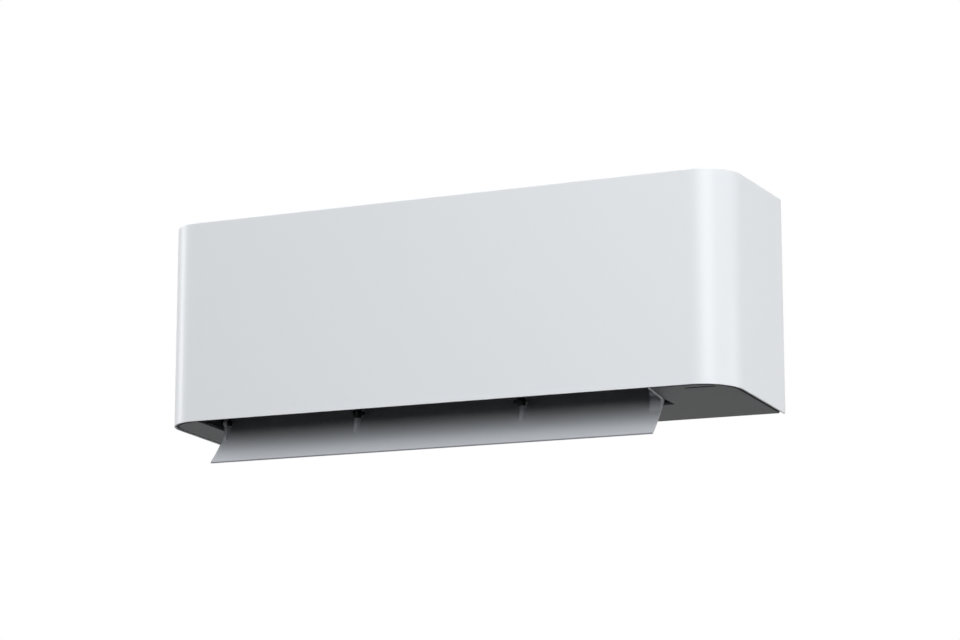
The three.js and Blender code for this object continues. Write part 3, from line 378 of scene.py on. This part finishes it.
# ---------------------------------------------------------------------------------------
# Fan motor. A sealed motor in a zinc-plated can, held by a white plastic strap whose foot
# stands on the back of the chassis, in the bay at the right end.
# ---------------------------------------------------------------------------------------
white_plastic = plastic("satin_white_plastic", tone(238, 241, 244), 0.37, 1400.0, 0.000012, 0.006)
dress(zinc_steel, "fan_motor")
dress(white_plastic, "motor_clamp")

# ---------------------------------------------------------------------------------------
# Fan bearing. A rubber bush in the left end wall, under a white plastic cap.
# ---------------------------------------------------------------------------------------
rubber = plastic("matte_rubber", tone(34, 35, 36), 0.85, 1200.0, 0.00004)
dress(rubber, "fan_bearing")
dress(white_plastic, "bearing_cap")


# ---------------------------------------------------------------------------------------
# Cross-flow fan. A black drum of 35 forward-curved blades in eight moulded sections, welded
# ring to ring, with a stub shaft at each end.
# ---------------------------------------------------------------------------------------
TURNED_STEPS = 72


def turned(mesh, profile):
    """A shape turned about the X axis from (along, radius) points."""
    line = [mesh.verts.new((along, radius, 0)) for along, radius in profile]
    edges = [mesh.edges.new(pair) for pair in zip(line, line[1:])]
    before = set(mesh.verts) - set(line)
    bmesh.ops.spin(mesh, geom=line + edges, cent=(0, 0, 0), axis=(1, 0, 0), dvec=(0, 0, 0),
                   angle=2 * math.pi, steps=TURNED_STEPS, use_merge=True, use_duplicate=False)
    made = [vert for vert in mesh.verts if vert not in before]
    bmesh.ops.remove_doubles(mesh, verts=made, dist=SAME_POINT / 2)


FAN_AXIS = Vector((0, -0.100, -0.009))
FAN_RADIUS = 0.046
FAN_LEFT, FAN_RIGHT = -0.362, 0.300
FAN_BLADES = 35
FAN_SECTIONS = 8
RING = 0.0024
RING_HOLE = 0.66 * FAN_RADIUS
BLADE_ROOT = 0.76 * FAN_RADIUS
BLADE_TIP = FAN_RADIUS - 0.0004
BLADE_SWEEP = 0.3
BLADE_SHEET = 0.0011
BLADE_STEPS = 5
BLADE_INSET = 0.001
SHAFT, SHAFT_CHAMFER, SHAFT_LEFT, SHAFT_RIGHT = 0.004, 0.0005, 0.018, 0.026
BOSS, BOSS_CHAMFER, BOSS_DEPTH = 0.013, 0.001, 0.022

fan = bmesh.new()
spine = []
for step in range(BLADE_STEPS + 1):
    part = step / BLADE_STEPS
    radius = BLADE_ROOT + (BLADE_TIP - BLADE_ROOT) * part
    turn = BLADE_SWEEP * part * part
    point = (FAN_LEFT + BLADE_INSET, radius * math.cos(turn), radius * math.sin(turn))
    spine.append(fan.verts.new(point))
edges = [fan.edges.new(pair) for pair in zip(spine, spine[1:])]
sheet = verts_of(bmesh.ops.extrude_edge_only(fan, edges=edges)["geom"])
bmesh.ops.translate(fan, verts=sheet, vec=(FAN_RIGHT - FAN_LEFT - 2 * BLADE_INSET, 0, 0))
bmesh.ops.solidify(fan, geom=fan.faces[:], thickness=BLADE_SHEET)
bmesh.ops.recalc_face_normals(fan, faces=fan.faces)
bmesh.ops.spin(fan, geom=fan.verts[:] + fan.edges[:] + fan.faces[:], cent=(0, 0, 0),
               axis=(1, 0, 0), dvec=(0, 0, 0), angle=2 * math.pi * (FAN_BLADES - 1) / FAN_BLADES,
               steps=FAN_BLADES - 1, use_duplicate=True)
for section in range(1, FAN_SECTIONS):
    x = FAN_LEFT + (FAN_RIGHT - FAN_LEFT) * section / FAN_SECTIONS
    low, high = x - RING / 2, x + RING / 2
    turned(fan, [(low, RING_HOLE), (low, FAN_RADIUS), (high, FAN_RADIUS), (high, RING_HOLE),
                 (low, RING_HOLE)])
shaft_end = FAN_LEFT - SHAFT_LEFT
turned(fan, [(shaft_end, 0), (shaft_end, SHAFT - SHAFT_CHAMFER), (shaft_end + SHAFT_CHAMFER, SHAFT),
             (FAN_LEFT, SHAFT), (FAN_LEFT, FAN_RADIUS), (FAN_LEFT + RING, FAN_RADIUS),
             (FAN_LEFT + RING, 0)])
shaft_end = FAN_RIGHT + SHAFT_RIGHT
boss_end = FAN_RIGHT - BOSS_DEPTH
turned(fan, [(boss_end, 0), (boss_end, BOSS - BOSS_CHAMFER), (boss_end + BOSS_CHAMFER, BOSS),
             (FAN_RIGHT - RING, BOSS), (FAN_RIGHT - RING, FAN_RADIUS), (FAN_RIGHT, FAN_RADIUS),
             (FAN_RIGHT, SHAFT), (shaft_end - SHAFT_CHAMFER, SHAFT),
             (shaft_end, SHAFT - SHAFT_CHAMFER), (shaft_end, 0)])
bmesh.ops.translate(fan, verts=fan.verts, vec=FAN_AXIS)
black_plastic = plastic("matte_black_plastic", tone(20, 21, 22), 0.6)
piece("fan_drum", fan, black_plastic, "fan", ["cross_flow_fan"])

# ---------------------------------------------------------------------------------------
# Drain pan. A black moulding under the front evaporator. Its curved wall is the front of
# the air duct and its rear lip is the tongue beside the fan.
# ---------------------------------------------------------------------------------------
dress(black_plastic, "drain_pan")


# ---------------------------------------------------------------------------------------
# Evaporator. Three blocks of thin aluminium fins pressed on copper tube, between two end
# plates of aluminium sheet that carry the return bends.
# ---------------------------------------------------------------------------------------
FIN_PITCH = 0.0016


def finned(name):
    """Aluminium with fine upright ridges, one per fin, and painted shade: darker between the fins,
    where the gaps lie in shade.
    """
    material, shader, wire = blank(name, Metallic=1.0)
    spot = wire.node("TexCoord", output="Object")
    across = wire.node("SeparateXYZ", None, {"Vector": spot})
    comb = wire.node("Math", {"operation": "SINE"}, {0: across * (2 * math.pi / FIN_PITCH)})
    fins_and_gap_shade = comb * 0.5 + 0.5
    # Painted shade: the darker tone falls in the gaps between the fins
    feed(shader, "Base Color", fins_and_gap_shade.mix(tone(150, 154, 158), tone(222, 225, 227)))
    feed(shader, "Roughness", fins_and_gap_shade * 0.1 + 0.42)
    bump(shader, fins_and_gap_shade, 0.0002)
    return material


dress(finned("aluminium_fins"), "evaporator_front", "evaporator_upper", "evaporator_rear")
bright_sheet = metal("aluminium_sheet", tone(176, 180, 184), tone(206, 209, 212), 0.36, 220,
                     (1, 8, 1))
dress(bright_sheet, "tube_plate_left", "tube_plate_right")


# ---------------------------------------------------------------------------------------
# Refrigerant pipes. Soft copper tube, bent down beside the evaporator and along the channel
# behind the duct. Each ends in a hexagonal brass flare nut.
# ---------------------------------------------------------------------------------------
LYING = Matrix.Rotation(math.pi / 2, 3, "Y")
DEGREES_PER_STEP = 7


def bent_tube(mesh, start, radius, moves):
    """A tube that sets off to +X; each move is a length ahead, or (axis, bend radius, angle)."""
    place, heading = Vector(start), Vector((1, 0, 0))
    ring = bmesh.ops.create_circle(mesh, cap_ends=False, segments=24, radius=radius)["verts"]
    bmesh.ops.rotate(mesh, verts=ring, cent=(0, 0, 0), matrix=LYING)
    bmesh.ops.translate(mesh, verts=ring, vec=place)
    edges = list({edge for vert in ring for edge in vert.link_edges})
    bmesh.ops.contextual_create(mesh, geom=edges)
    for move in moves:
        if isinstance(move, tuple):
            axis, bend, angle = Vector(move[0]), move[1], math.radians(move[2])
            centre = place + bend * axis.cross(heading)
            steps = max(4, round(move[2] / DEGREES_PER_STEP))
            last = bmesh.ops.spin(mesh, geom=ring + edges, cent=centre, axis=axis, dvec=(0, 0, 0),
                                  angle=angle, steps=steps, use_duplicate=False,
                                  use_merge=False)["geom_last"]
            turn = Matrix.Rotation(angle, 3, axis)
            place = centre + turn @ (place - centre)
            heading = turn @ heading
        else:
            last = bmesh.ops.extrude_edge_only(mesh, edges=edges)["geom"]
            bmesh.ops.translate(mesh, verts=verts_of(last), vec=heading * move)
            place = place + heading * move
        ring = verts_of(last)
        edges = [part for part in last if isinstance(part, bmesh.types.BMEdge)
                 and len(part.link_faces) == 1 and all(vert in ring for vert in part.verts)]
    bmesh.ops.contextual_create(mesh, geom=edges)


RIGHT, LEFT, BACK = (1, 0, 0), (-1, 0, 0), (0, 1, 0)
PIPE_START_X = 0.310
PIPE_END_X = -0.150
FIRST_BEND = 0.009
LAST_BEND = 0.022
SWAY = 0.016
NUT_LENGTH, NUT_CHAMFER, NUT_SHIFT = 0.022, 0.0014, 0.005
NUT_WALL, NUT_HOLE_DEPTH = 0.42, 0.004
copper = metal("drawn_copper", tone(150, 88, 58), tone(200, 128, 90), 0.34, 90, (1, 14, 14))
brass = metal("turned_brass", tone(160, 130, 72), tone(206, 178, 108), 0.3, 260, (12, 1, 1))
# Each pipe: its radius, where it leaves the evaporator, the lane (y) and level (z) of its last
# run, how far right it drops down, how far it leans on the way, and its nut's corner radius
PIPES = {
    "gas": {"radius": 0.00635, "start": (-0.04234, 0.07157), "lane": -0.032, "level": -0.092,
            "drop": 0.326, "lean": 20, "nut": 0.013},
    "liquid": {"radius": 0.004, "start": (-0.05908, 0.08534), "lane": -0.017, "level": -0.114,
               "drop": 0.3375, "lean": 45, "nut": 0.0095},
}
for name, run in PIPES.items():
    start_y, start_z = run["start"]
    lean = math.radians(run["lean"])
    shift = run["lane"] - start_y
    slope = (shift - 2 * SWAY * (1 - math.cos(lean))) / math.sin(lean)
    fall = 2 * SWAY * math.sin(lean) + slope * math.cos(lean)
    rest = start_z - FIRST_BEND - fall - (run["level"] + LAST_BEND)
    tube = bmesh.new()
    bent_tube(tube, (PIPE_START_X, start_y, start_z), run["radius"], [
        run["drop"] - FIRST_BEND - PIPE_START_X, (BACK, FIRST_BEND, 90),
        (RIGHT, SWAY, run["lean"]), slope, (LEFT, SWAY, run["lean"]), rest,
        (BACK, LAST_BEND, 90), run["drop"] - LAST_BEND - PIPE_END_X])
    piece(f"{name}_tube", tube, copper, "casing", [f"{name}_pipe"])

    nut = bmesh.new()
    hexagon = bmesh.ops.create_cone(nut, cap_ends=True, segments=6, radius1=run["nut"],
                                    radius2=run["nut"], depth=NUT_LENGTH)["verts"]
    bmesh.ops.rotate(nut, verts=hexagon, cent=(0, 0, 0), matrix=LYING)
    nut_place = (PIPE_END_X + NUT_SHIFT, run["lane"], run["level"])
    bmesh.ops.translate(nut, verts=hexagon, vec=nut_place)
    ends = [face for face in nut.faces if abs(face.normal.x) > 0.9]
    rounded(nut, list({edge for face in ends for edge in face.edges}), NUT_CHAMFER, 2)
    mouth = [min(nut.faces, key=lambda face: face.calc_center_median().x)]
    bmesh.ops.inset_region(nut, faces=mouth, thickness=run["nut"] * NUT_WALL)
    bmesh.ops.inset_region(nut, faces=mouth, thickness=0.0002, depth=-NUT_HOLE_DEPTH)
    piece(f"{name}_nut", nut, brass, "casing", [f"{name}_flare_nut"])


# ---------------------------------------------------------------------------------------
# Vanes. Twelve thin black plates with rounded corners in two groups of six. Each turns on a
# stem in the rear guide, and a link bar on their small pins turns six of them together.
# ---------------------------------------------------------------------------------------
def rod(mesh, radius, left, right):
    """A round bar along X; gives its vertices."""
    made = bmesh.ops.create_cone(mesh, cap_ends=True, segments=24, radius1=radius,
                                 radius2=radius, depth=right - left)["verts"]
    bmesh.ops.rotate(mesh, verts=made, cent=(0, 0, 0), matrix=LYING)
    bmesh.ops.translate(mesh, verts=made, vec=((left + right) / 2, 0, 0))
    return made


def stem(mesh, radius, low, high, y):
    """A round bar along Z at y."""
    made = rod(mesh, radius, low, high)
    bmesh.ops.rotate(mesh, verts=made, cent=(0, 0, 0), matrix=LYING.inverted())
    bmesh.ops.translate(mesh, verts=made, vec=(0, y, 0))


GUIDE_TILT = 1.100607
VANE_BASE = Vector((0, -0.082505, -0.100421))
VANE_SHEET = 0.0016
VANE_TOP = 0.044
VANE_OUTLINE = [(-0.018, 0.004), (-0.004, 0.001), (0.014, 0.001), (0.016, 0.006), (0.008, 0.006),
                (0.008, 0.012), (0.018, 0.012), (0.018, VANE_TOP), (-0.018, VANE_TOP)]
VANE_CORNER = 0.007
VANE_RIM = 0.0004
STEM, STEM_TOP, STEM_FOOT, DRIVEN_FOOT = 0.0025, 0.003, -0.004, -0.008
LINK_PIN, LINK_PIN_LOW, LINK_PIN_HIGH, LINK_PIN_Y = 0.0014, 0.005, 0.013, 0.013
SHARP_BEND = 1.2
GUIDE_TURN = Matrix.Rotation(GUIDE_TILT, 3, "X")

# Each group: where its first vane stands, the driven one, and the step to the next
VANES = {"left": (-0.328, 0.054), "right": (0.266, -0.054)}
for side, (first, pitch) in VANES.items():
    for number in range(1, 7):
        vane = bmesh.new()
        flat_face(vane, [(-VANE_SHEET / 2, y, z) for y, z in VANE_OUTLINE])
        top = [vert for vert in vane.verts if vert.co.z > VANE_TOP - VANE_CORNER / 2]
        rounded_corners(vane, top, VANE_CORNER)
        push(vane, vane.faces[:], (VANE_SHEET, 0, 0))
        rims = [edge for edge in vane.edges if edge.calc_face_angle(0) > SHARP_BEND]
        rounded(vane, rims, VANE_RIM, 2)
        stem(vane, STEM, DRIVEN_FOOT if number == 1 else STEM_FOOT, STEM_TOP, 0)
        stem(vane, LINK_PIN, LINK_PIN_LOW, LINK_PIN_HIGH, LINK_PIN_Y)
        bmesh.ops.rotate(vane, verts=vane.verts, cent=(0, 0, 0), matrix=GUIDE_TURN)
        place = VANE_BASE + Vector((first + (number - 1) * pitch, 0, 0))
        bmesh.ops.translate(vane, verts=vane.verts, vec=place)
        body = f"vane_{side}_{number}"
        piece(f"{body}_plate", vane, black_plastic, body, [body])
    dress(black_plastic, f"vane_link_{side}")
    dress(zinc_steel, f"vane_motor_{side}")

# ---------------------------------------------------------------------------------------
# Top frame. A white moulded grid over the evaporator that closes the top of the casing, and
# the seat of the filters.
# ---------------------------------------------------------------------------------------
dress(white_plastic, "top_frame")


# ---------------------------------------------------------------------------------------
# Air filters. Grey moulded frames with a fine woven mesh in their windows. They lie in the
# top frame side by side and lift out.
# ---------------------------------------------------------------------------------------
MESH_TOP = 0.1422
MESH_PITCH = 0.0013


def meshed(name, frame_colour, thread, gap_shade):
    """Plastic whose lower skin is a woven mesh: crossing threads with painted shade between them, dark
    where the holes look into the shaded inside.
    """
    material, shader, wire = blank(name)
    spot = wire.node("TexCoord", output="Object")
    threads = []
    for axis in (0, 1):
        along = wire.node("SeparateXYZ", None, {"Vector": spot}, axis) * (2 * math.pi / MESH_PITCH)
        threads.append(wire.node("Math", {"operation": "SINE"}, {0: along}))
    weave = wire.maths("MAXIMUM", *threads) * 0.5 + 0.5
    cloud = wire.node("TexNoise", None, {"Vector": spot, "Scale": 6.0, "Detail": 3.0})
    height = wire.node("SeparateXYZ", None, {"Vector": spot}, 2)
    lattice = height > (MESH_TOP + 0.0001)
    # Painted shade: the holes between the threads are coloured dark
    mesh_colour = weave.mix(gap_shade, thread)
    feed(shader, "Base Color", lattice.mix(mesh_colour, (cloud * 0.3).mix(frame_colour, thread)))
    feed(shader, "Roughness", cloud * 0.1 + 0.52)
    bump(shader, weave, 0.0002)
    return material


# Painted shade: the last tone is the dark of the holes between the threads
filter_mesh = meshed("filter_mesh", tone(150, 158, 165), tone(120, 128, 135), tone(44, 48, 52))
dress(filter_mesh, "air_filter_left", "air_filter_right")

# ---------------------------------------------------------------------------------------
# Electrical parts. A white plastic case and louvred lid with a green circuit board inside,
# and a black terminal block below it for the supply and signal wires.
# ---------------------------------------------------------------------------------------
board_green = plastic("board_green", tone(46, 104, 72), 0.45, 700.0, 0.00002, 0.1)
dress(white_plastic, "control_case", "control_lid")
dress(board_green, "control_board", "receiver_board")
dress(black_plastic, "terminal_block")

# ---------------------------------------------------------------------------------------
# Front cover. One satin white moulding that wraps the front and both ends, with an inward
# lip round the top and softly rounded rims. It clips over the chassis.
# ---------------------------------------------------------------------------------------
CASE_WIDTH = 0.860
CASE_DEPTH = 0.220
CASE_TOP = 0.144
FRONT_BOTTOM = -0.144
BOTTOM_SLOPE = 12 / 220
CASE_REAR = -0.002
CORNER = 0.055
COVER_WALL = 0.0025
COVER_LIP = 0.012
COVER_RIM = 0.0022
COVER_EDGE = 0.0006


def plan(mesh, inset, rear):
    """The casing's outline from above, as one flat face: two round front corners."""
    half = CASE_WIDTH / 2 - inset
    front = inset - CASE_DEPTH
    made = bmesh.ops.create_grid(mesh, x_segments=1, y_segments=1, size=0.5)["verts"]
    bmesh.ops.scale(mesh, verts=made, vec=(2 * half, rear - front, 1))
    bmesh.ops.translate(mesh, verts=made, vec=(0, (rear + front) / 2, 0))
    rounded_corners(mesh, [vert for vert in made if vert.co.y < -0.1], CORNER - inset, 24)


def underside(y):
    """Height of the casing's lower rim, which falls towards the wall."""
    return FRONT_BOTTOM - BOTTOM_SLOPE * (y + CASE_DEPTH)


def bends(mesh):
    """The sharp edges of a mesh."""
    return [edge for edge in mesh.edges
            if len(edge.link_faces) == 2 and edge.calc_face_angle() > SHARP_BEND]


def trim_off(mesh, point, normal):
    """Cuts along a plane and drops what lies on the side its normal points to."""
    everything = mesh.verts[:] + mesh.edges[:] + mesh.faces[:]
    bmesh.ops.bisect_plane(mesh, geom=everything, plane_co=point, plane_no=normal,
                           clear_outer=True)


# Raised a little too deep and too long, then cut to the casing's slope and its rear
COVER_BLANK = 0.32
cover = bmesh.new()
plan(cover, 0, COVER_LIP)
push(cover, cover.faces[:], (0, 0, COVER_BLANK))
bmesh.ops.translate(cover, verts=cover.verts, vec=(0, 0, CASE_TOP - COVER_BLANK))
lid = max(cover.faces, key=lambda face: face.calc_center_median().z)
bmesh.ops.inset_region(cover, faces=[lid], thickness=COVER_LIP, use_boundary=True,
                       use_even_offset=True)
caps = [face for face in cover.faces if len(face.verts) > 20 and abs(face.normal.z) > 0.9]
bmesh.ops.delete(cover, context="FACES", geom=caps)
trim_off(cover, (0, CASE_REAR, 0), (0, 1, 0))
trim_off(cover, (0, -CASE_DEPTH, FRONT_BOTTOM), (0, -BOTTOM_SLOPE, -1))
rounded(cover, bends(cover), COVER_RIM, 5)
bmesh.ops.recalc_face_normals(cover, faces=cover.faces)
bmesh.ops.solidify(cover, geom=cover.faces[:], thickness=COVER_WALL)
bmesh.ops.recalc_face_normals(cover, faces=cover.faces)
rounded(cover, bends(cover), COVER_EDGE)
piece("front_cover_shell", cover, white_plastic, "casing", ["front_cover"])

# ---------------------------------------------------------------------------------------
# Bottom panel. A fine-textured moulding, recessed a little in the cover. Its dark grey is painted
# shade:
# the underside is taken for white plastic lying in deep shade. A black ring behind the narrow groove
# round it is painted shade too, so that the groove shows dark. It leaves the outlet open and has a
# slot for the receiver.
# ---------------------------------------------------------------------------------------
OUTLET = (-0.371, 0.309)
OUTLET_REAR = -0.106
RECEIVER = (0.380, -0.197)
RECEIVER_HALF = (0.0213, 0.0023)
PANEL_SHEET = 0.003
PANEL_INSET, PANEL_REAR = 0.0075, -0.005
PANEL_EDGE = 0.0006
SEAT = 0.0003
FLANGE_INSET, FLANGE_REAR, FLANGE_WIDTH = 0.0028, -0.002, 0.0072
FLANGE_GAP = 0.0001


def onto_underside(mesh, lift):
    """Lays a flat plan on the underside."""
    for vert in mesh.verts:
        vert.co.z += underside(vert.co.y) + lift


panel = bmesh.new()
plan(panel, PANEL_INSET, PANEL_REAR)
take_out(panel, (OUTLET[0], -CASE_DEPTH), (OUTLET[1], OUTLET_REAR))
take_out(panel, (RECEIVER[0] - RECEIVER_HALF[0], RECEIVER[1] - RECEIVER_HALF[1]),
         (RECEIVER[0] + RECEIVER_HALF[0], RECEIVER[1] + RECEIVER_HALF[1]))
bmesh.ops.dissolve_limit(panel, angle_limit=0.01, verts=panel.verts, edges=panel.edges)
push(panel, panel.faces[:], (0, 0, PANEL_SHEET))
onto_underside(panel, SEAT)
low_rim = [edge for edge in bends(panel)
           if all(vert.co.z < underside(vert.co.y) + PANEL_SHEET / 3 for vert in edge.verts)]
rounded(panel, low_rim, PANEL_EDGE)
# Painted shade: dark grey standing for white plastic in the deep shade under the unit
underside_shade_grey = plastic("underside_painted_shade", tone(92, 94, 97), 0.55, 800.0, 0.00005, 0.012)
piece("bottom_panel_face", panel, underside_shade_grey, "casing")

# Painted shade: this ring is black so that the groove between cover and panel shows dark, as the shade
# in it would
flange = bmesh.new()
plan(flange, FLANGE_INSET, FLANGE_REAR)
bmesh.ops.inset_region(flange, faces=flange.faces[:], thickness=FLANGE_WIDTH, use_boundary=True,
                       use_even_offset=True)
middle = max(flange.faces, key=lambda face: face.calc_area())
bmesh.ops.delete(flange, geom=[middle], context="FACES")
take_out(flange, (OUTLET[0], -CASE_DEPTH), (OUTLET[1], OUTLET_REAR))
push(flange, flange.faces[:], (0, 0, PANEL_SHEET / 2))
onto_underside(flange, PANEL_SHEET + FLANGE_GAP)
piece("bottom_panel_flange", flange, black_plastic, "casing", ["bottom_panel"])

# ---------------------------------------------------------------------------------------
# Outlet edge. A thin light strip set a little slantwise in the panel's face at the right
# end of the outlet, from the cover back to the flap's arm.
# ---------------------------------------------------------------------------------------
EDGE_FRONT, EDGE_REAR = -0.2165, -0.148
EDGE_LEFT, EDGE_RIGHT = 0.3152, 0.3170
EDGE_HEIGHT, EDGE_DROP = 0.0024, 0.0016
EDGE_ROUND = 0.0005
EDGE_SLANT = -0.008
strip = bmesh.new()
profile = flat_face(strip, [(x, EDGE_FRONT, z) for x, z in (
    (EDGE_LEFT, 0), (EDGE_RIGHT, 0), (EDGE_RIGHT, EDGE_HEIGHT), (EDGE_LEFT, EDGE_HEIGHT))])
push(strip, [profile], (EDGE_SLANT, EDGE_REAR - EDGE_FRONT, 0))
rounded(strip, bends(strip), EDGE_ROUND, 2)
onto_underside(strip, -EDGE_DROP)
piece("outlet_edge_strip", strip, white_plastic, "casing")

# ---------------------------------------------------------------------------------------
# Receiver window. A smoked lens in the underside's slot, over the receiver board.
# ---------------------------------------------------------------------------------------
smoked, smoked_shader, smoked_wire = blank("smoked_lens")
smoked_spot = smoked_wire.node("TexCoord", output="Object")
smoked_cloud = smoked_wire.node("TexNoise", None,
                                {"Vector": smoked_spot, "Scale": 60.0, "Detail": 2.0})
feed(smoked_shader, "Base Color", smoked_cloud.mix(tone(14, 14, 16), tone(22, 22, 25)))
feed(smoked_shader, "Roughness", smoked_cloud * 0.08 + 0.1)
dress(smoked, "receiver_window")

# ---------------------------------------------------------------------------------------
# Flap. A long, slightly curved blade of satin off-white plastic on four arms. Pins join the
# end arms to the chassis and its motor, and the middle arms to two fixed bearing plates.
# ---------------------------------------------------------------------------------------
PIVOT = Vector((0, -0.146, -0.138))
FLAP_OPEN = math.radians(53)
FLAP_ENDS = (-0.3685, 0.3065)
FLAP_SPAN = (-0.069, 0.036)
FLAP_RISE = -0.008
FLAP_SAG = 0.004
FLAP_SHEET = 0.0026
FLAP_EDGE = 0.0003
HUB = 0.0055
HUB_DIP = 0.34
ARM_CORNER = 0.005

half_span = (FLAP_SPAN[1] - FLAP_SPAN[0]) / 2
arc_radius = (half_span ** 2 + FLAP_SAG ** 2) / (2 * FLAP_SAG)
arc_centre = Vector((FLAP_ENDS[0], sum(FLAP_SPAN) / 2, FLAP_RISE - FLAP_SAG + arc_radius))
swing = math.asin(half_span / arc_radius)

flap = bmesh.new()
tip = [flap.verts.new(arc_centre + Vector((0, -math.sin(swing), -math.cos(swing))) * radius)
       for radius in (arc_radius, arc_radius + FLAP_SHEET)]
bmesh.ops.spin(flap, geom=tip + [flap.edges.new(tip)], cent=arc_centre, axis=(1, 0, 0),
               dvec=(0, 0, 0), angle=2 * swing, steps=28, use_merge=False, use_duplicate=False)
push(flap, flap.faces[:], (FLAP_ENDS[1] - FLAP_ENDS[0], 0, 0))
bmesh.ops.recalc_face_normals(flap, faces=flap.faces)
rounded(flap, bends(flap), FLAP_EDGE, 2)


def arm(mesh, left, right):
    """An arm that flares out from the hub on the pivot down to the blade."""
    root = FLAP_RISE - FLAP_SAG - 0.001
    start = mesh.verts.new((left, HUB * math.cos(HUB_DIP), -HUB * math.sin(HUB_DIP)))
    corners = [mesh.verts.new((left, *at)) for at in (
        (-0.0135, -0.0055), (-0.026, root), (0.016, root), (0.007, root + 0.003))]
    hub = bmesh.ops.spin(mesh, geom=[start], cent=(left, 0, 0), axis=(1, 0, 0), dvec=(0, 0, 0),
                         angle=math.pi + 2 * HUB_DIP, steps=24, use_merge=False,
                         use_duplicate=False)
    for pair in zip([verts_of(hub["geom_last"])[0]] + corners, corners + [start]):
        mesh.edges.new(pair)
    rounded_corners(mesh, [corners[0], corners[3]], ARM_CORNER)
    outline = [edge for edge in mesh.edges if not edge.link_faces]
    push(mesh, bmesh.ops.contextual_create(mesh, geom=outline)["faces"], (right - left, 0, 0))


# The left end arm, the two middle ones, and the thick driven one at the right end
ARMS = ((FLAP_ENDS[0] + 0.002, FLAP_ENDS[0] + 0.007), (-0.1552, -0.1506), (0.1001, 0.1047),
        (FLAP_ENDS[1] - 0.016, FLAP_ENDS[1]))
for left, right in ARMS:
    arm(flap, left, right)
FLAP_TURN = Matrix.Rotation(FLAP_OPEN, 3, "X")
bmesh.ops.rotate(flap, verts=flap.verts, cent=(0, 0, 0), matrix=FLAP_TURN)
bmesh.ops.translate(flap, verts=flap.verts, vec=PIVOT)
flap_white = plastic("satin_flap_plastic", tone(212, 216, 222), 0.42, 1400.0, 0.000012, 0.006)
piece("flap_blade", flap, flap_white, "flap", ["flap"])

# ---------------------------------------------------------------------------------------
# Flap pins. Short turned bars of black plastic on the flap's pivot line, one pressed through each arm.
# A black bush round each middle arm's hub and a black boss at the left end are painted shade: dark
# discs where the hubs lie in shade.
# ---------------------------------------------------------------------------------------
PIN, PIN_EDGE = 0.0022, 0.0003
PINS = ((FLAP_ENDS[0] - 0.007, FLAP_ENDS[0] + 0.003), (-0.153, -0.1405), (0.090, 0.1025),
        (FLAP_ENDS[1] - 0.001, FLAP_ENDS[1] + 0.014))
SHADE_BOSS_RADIUS = HUB - 0.0015
SHADE_BOSS_SPAN = (FLAP_ENDS[0] + 0.003, FLAP_ENDS[0] + 0.0115)
SHADE_BUSH_RADIUS = HUB + 0.0003
SHADE_BUSHES = ((-0.1556, -0.1504), (0.1000, 0.1051))
pins = bmesh.new()
for left, right in PINS:
    bar = rod(pins, PIN, left, right)
    rims = [edge for edge in pins.edges if all(vert in bar for vert in edge.verts)
            and edge.calc_face_angle() > SHARP_BEND]
    rounded(pins, rims, PIN_EDGE, 2)
# Painted shade: a black boss and black bushes that darken the hubs as shade would
rod(pins, SHADE_BOSS_RADIUS, *SHADE_BOSS_SPAN)
for left, right in SHADE_BUSHES:
    rod(pins, SHADE_BUSH_RADIUS, left, right)
bmesh.ops.translate(pins, verts=pins.verts, vec=PIVOT)
piece("flap_pins", pins, black_plastic, "flap")
dress(black_plastic, "flap_support_left", "flap_support_right")
dress(zinc_steel, "flap_motor")
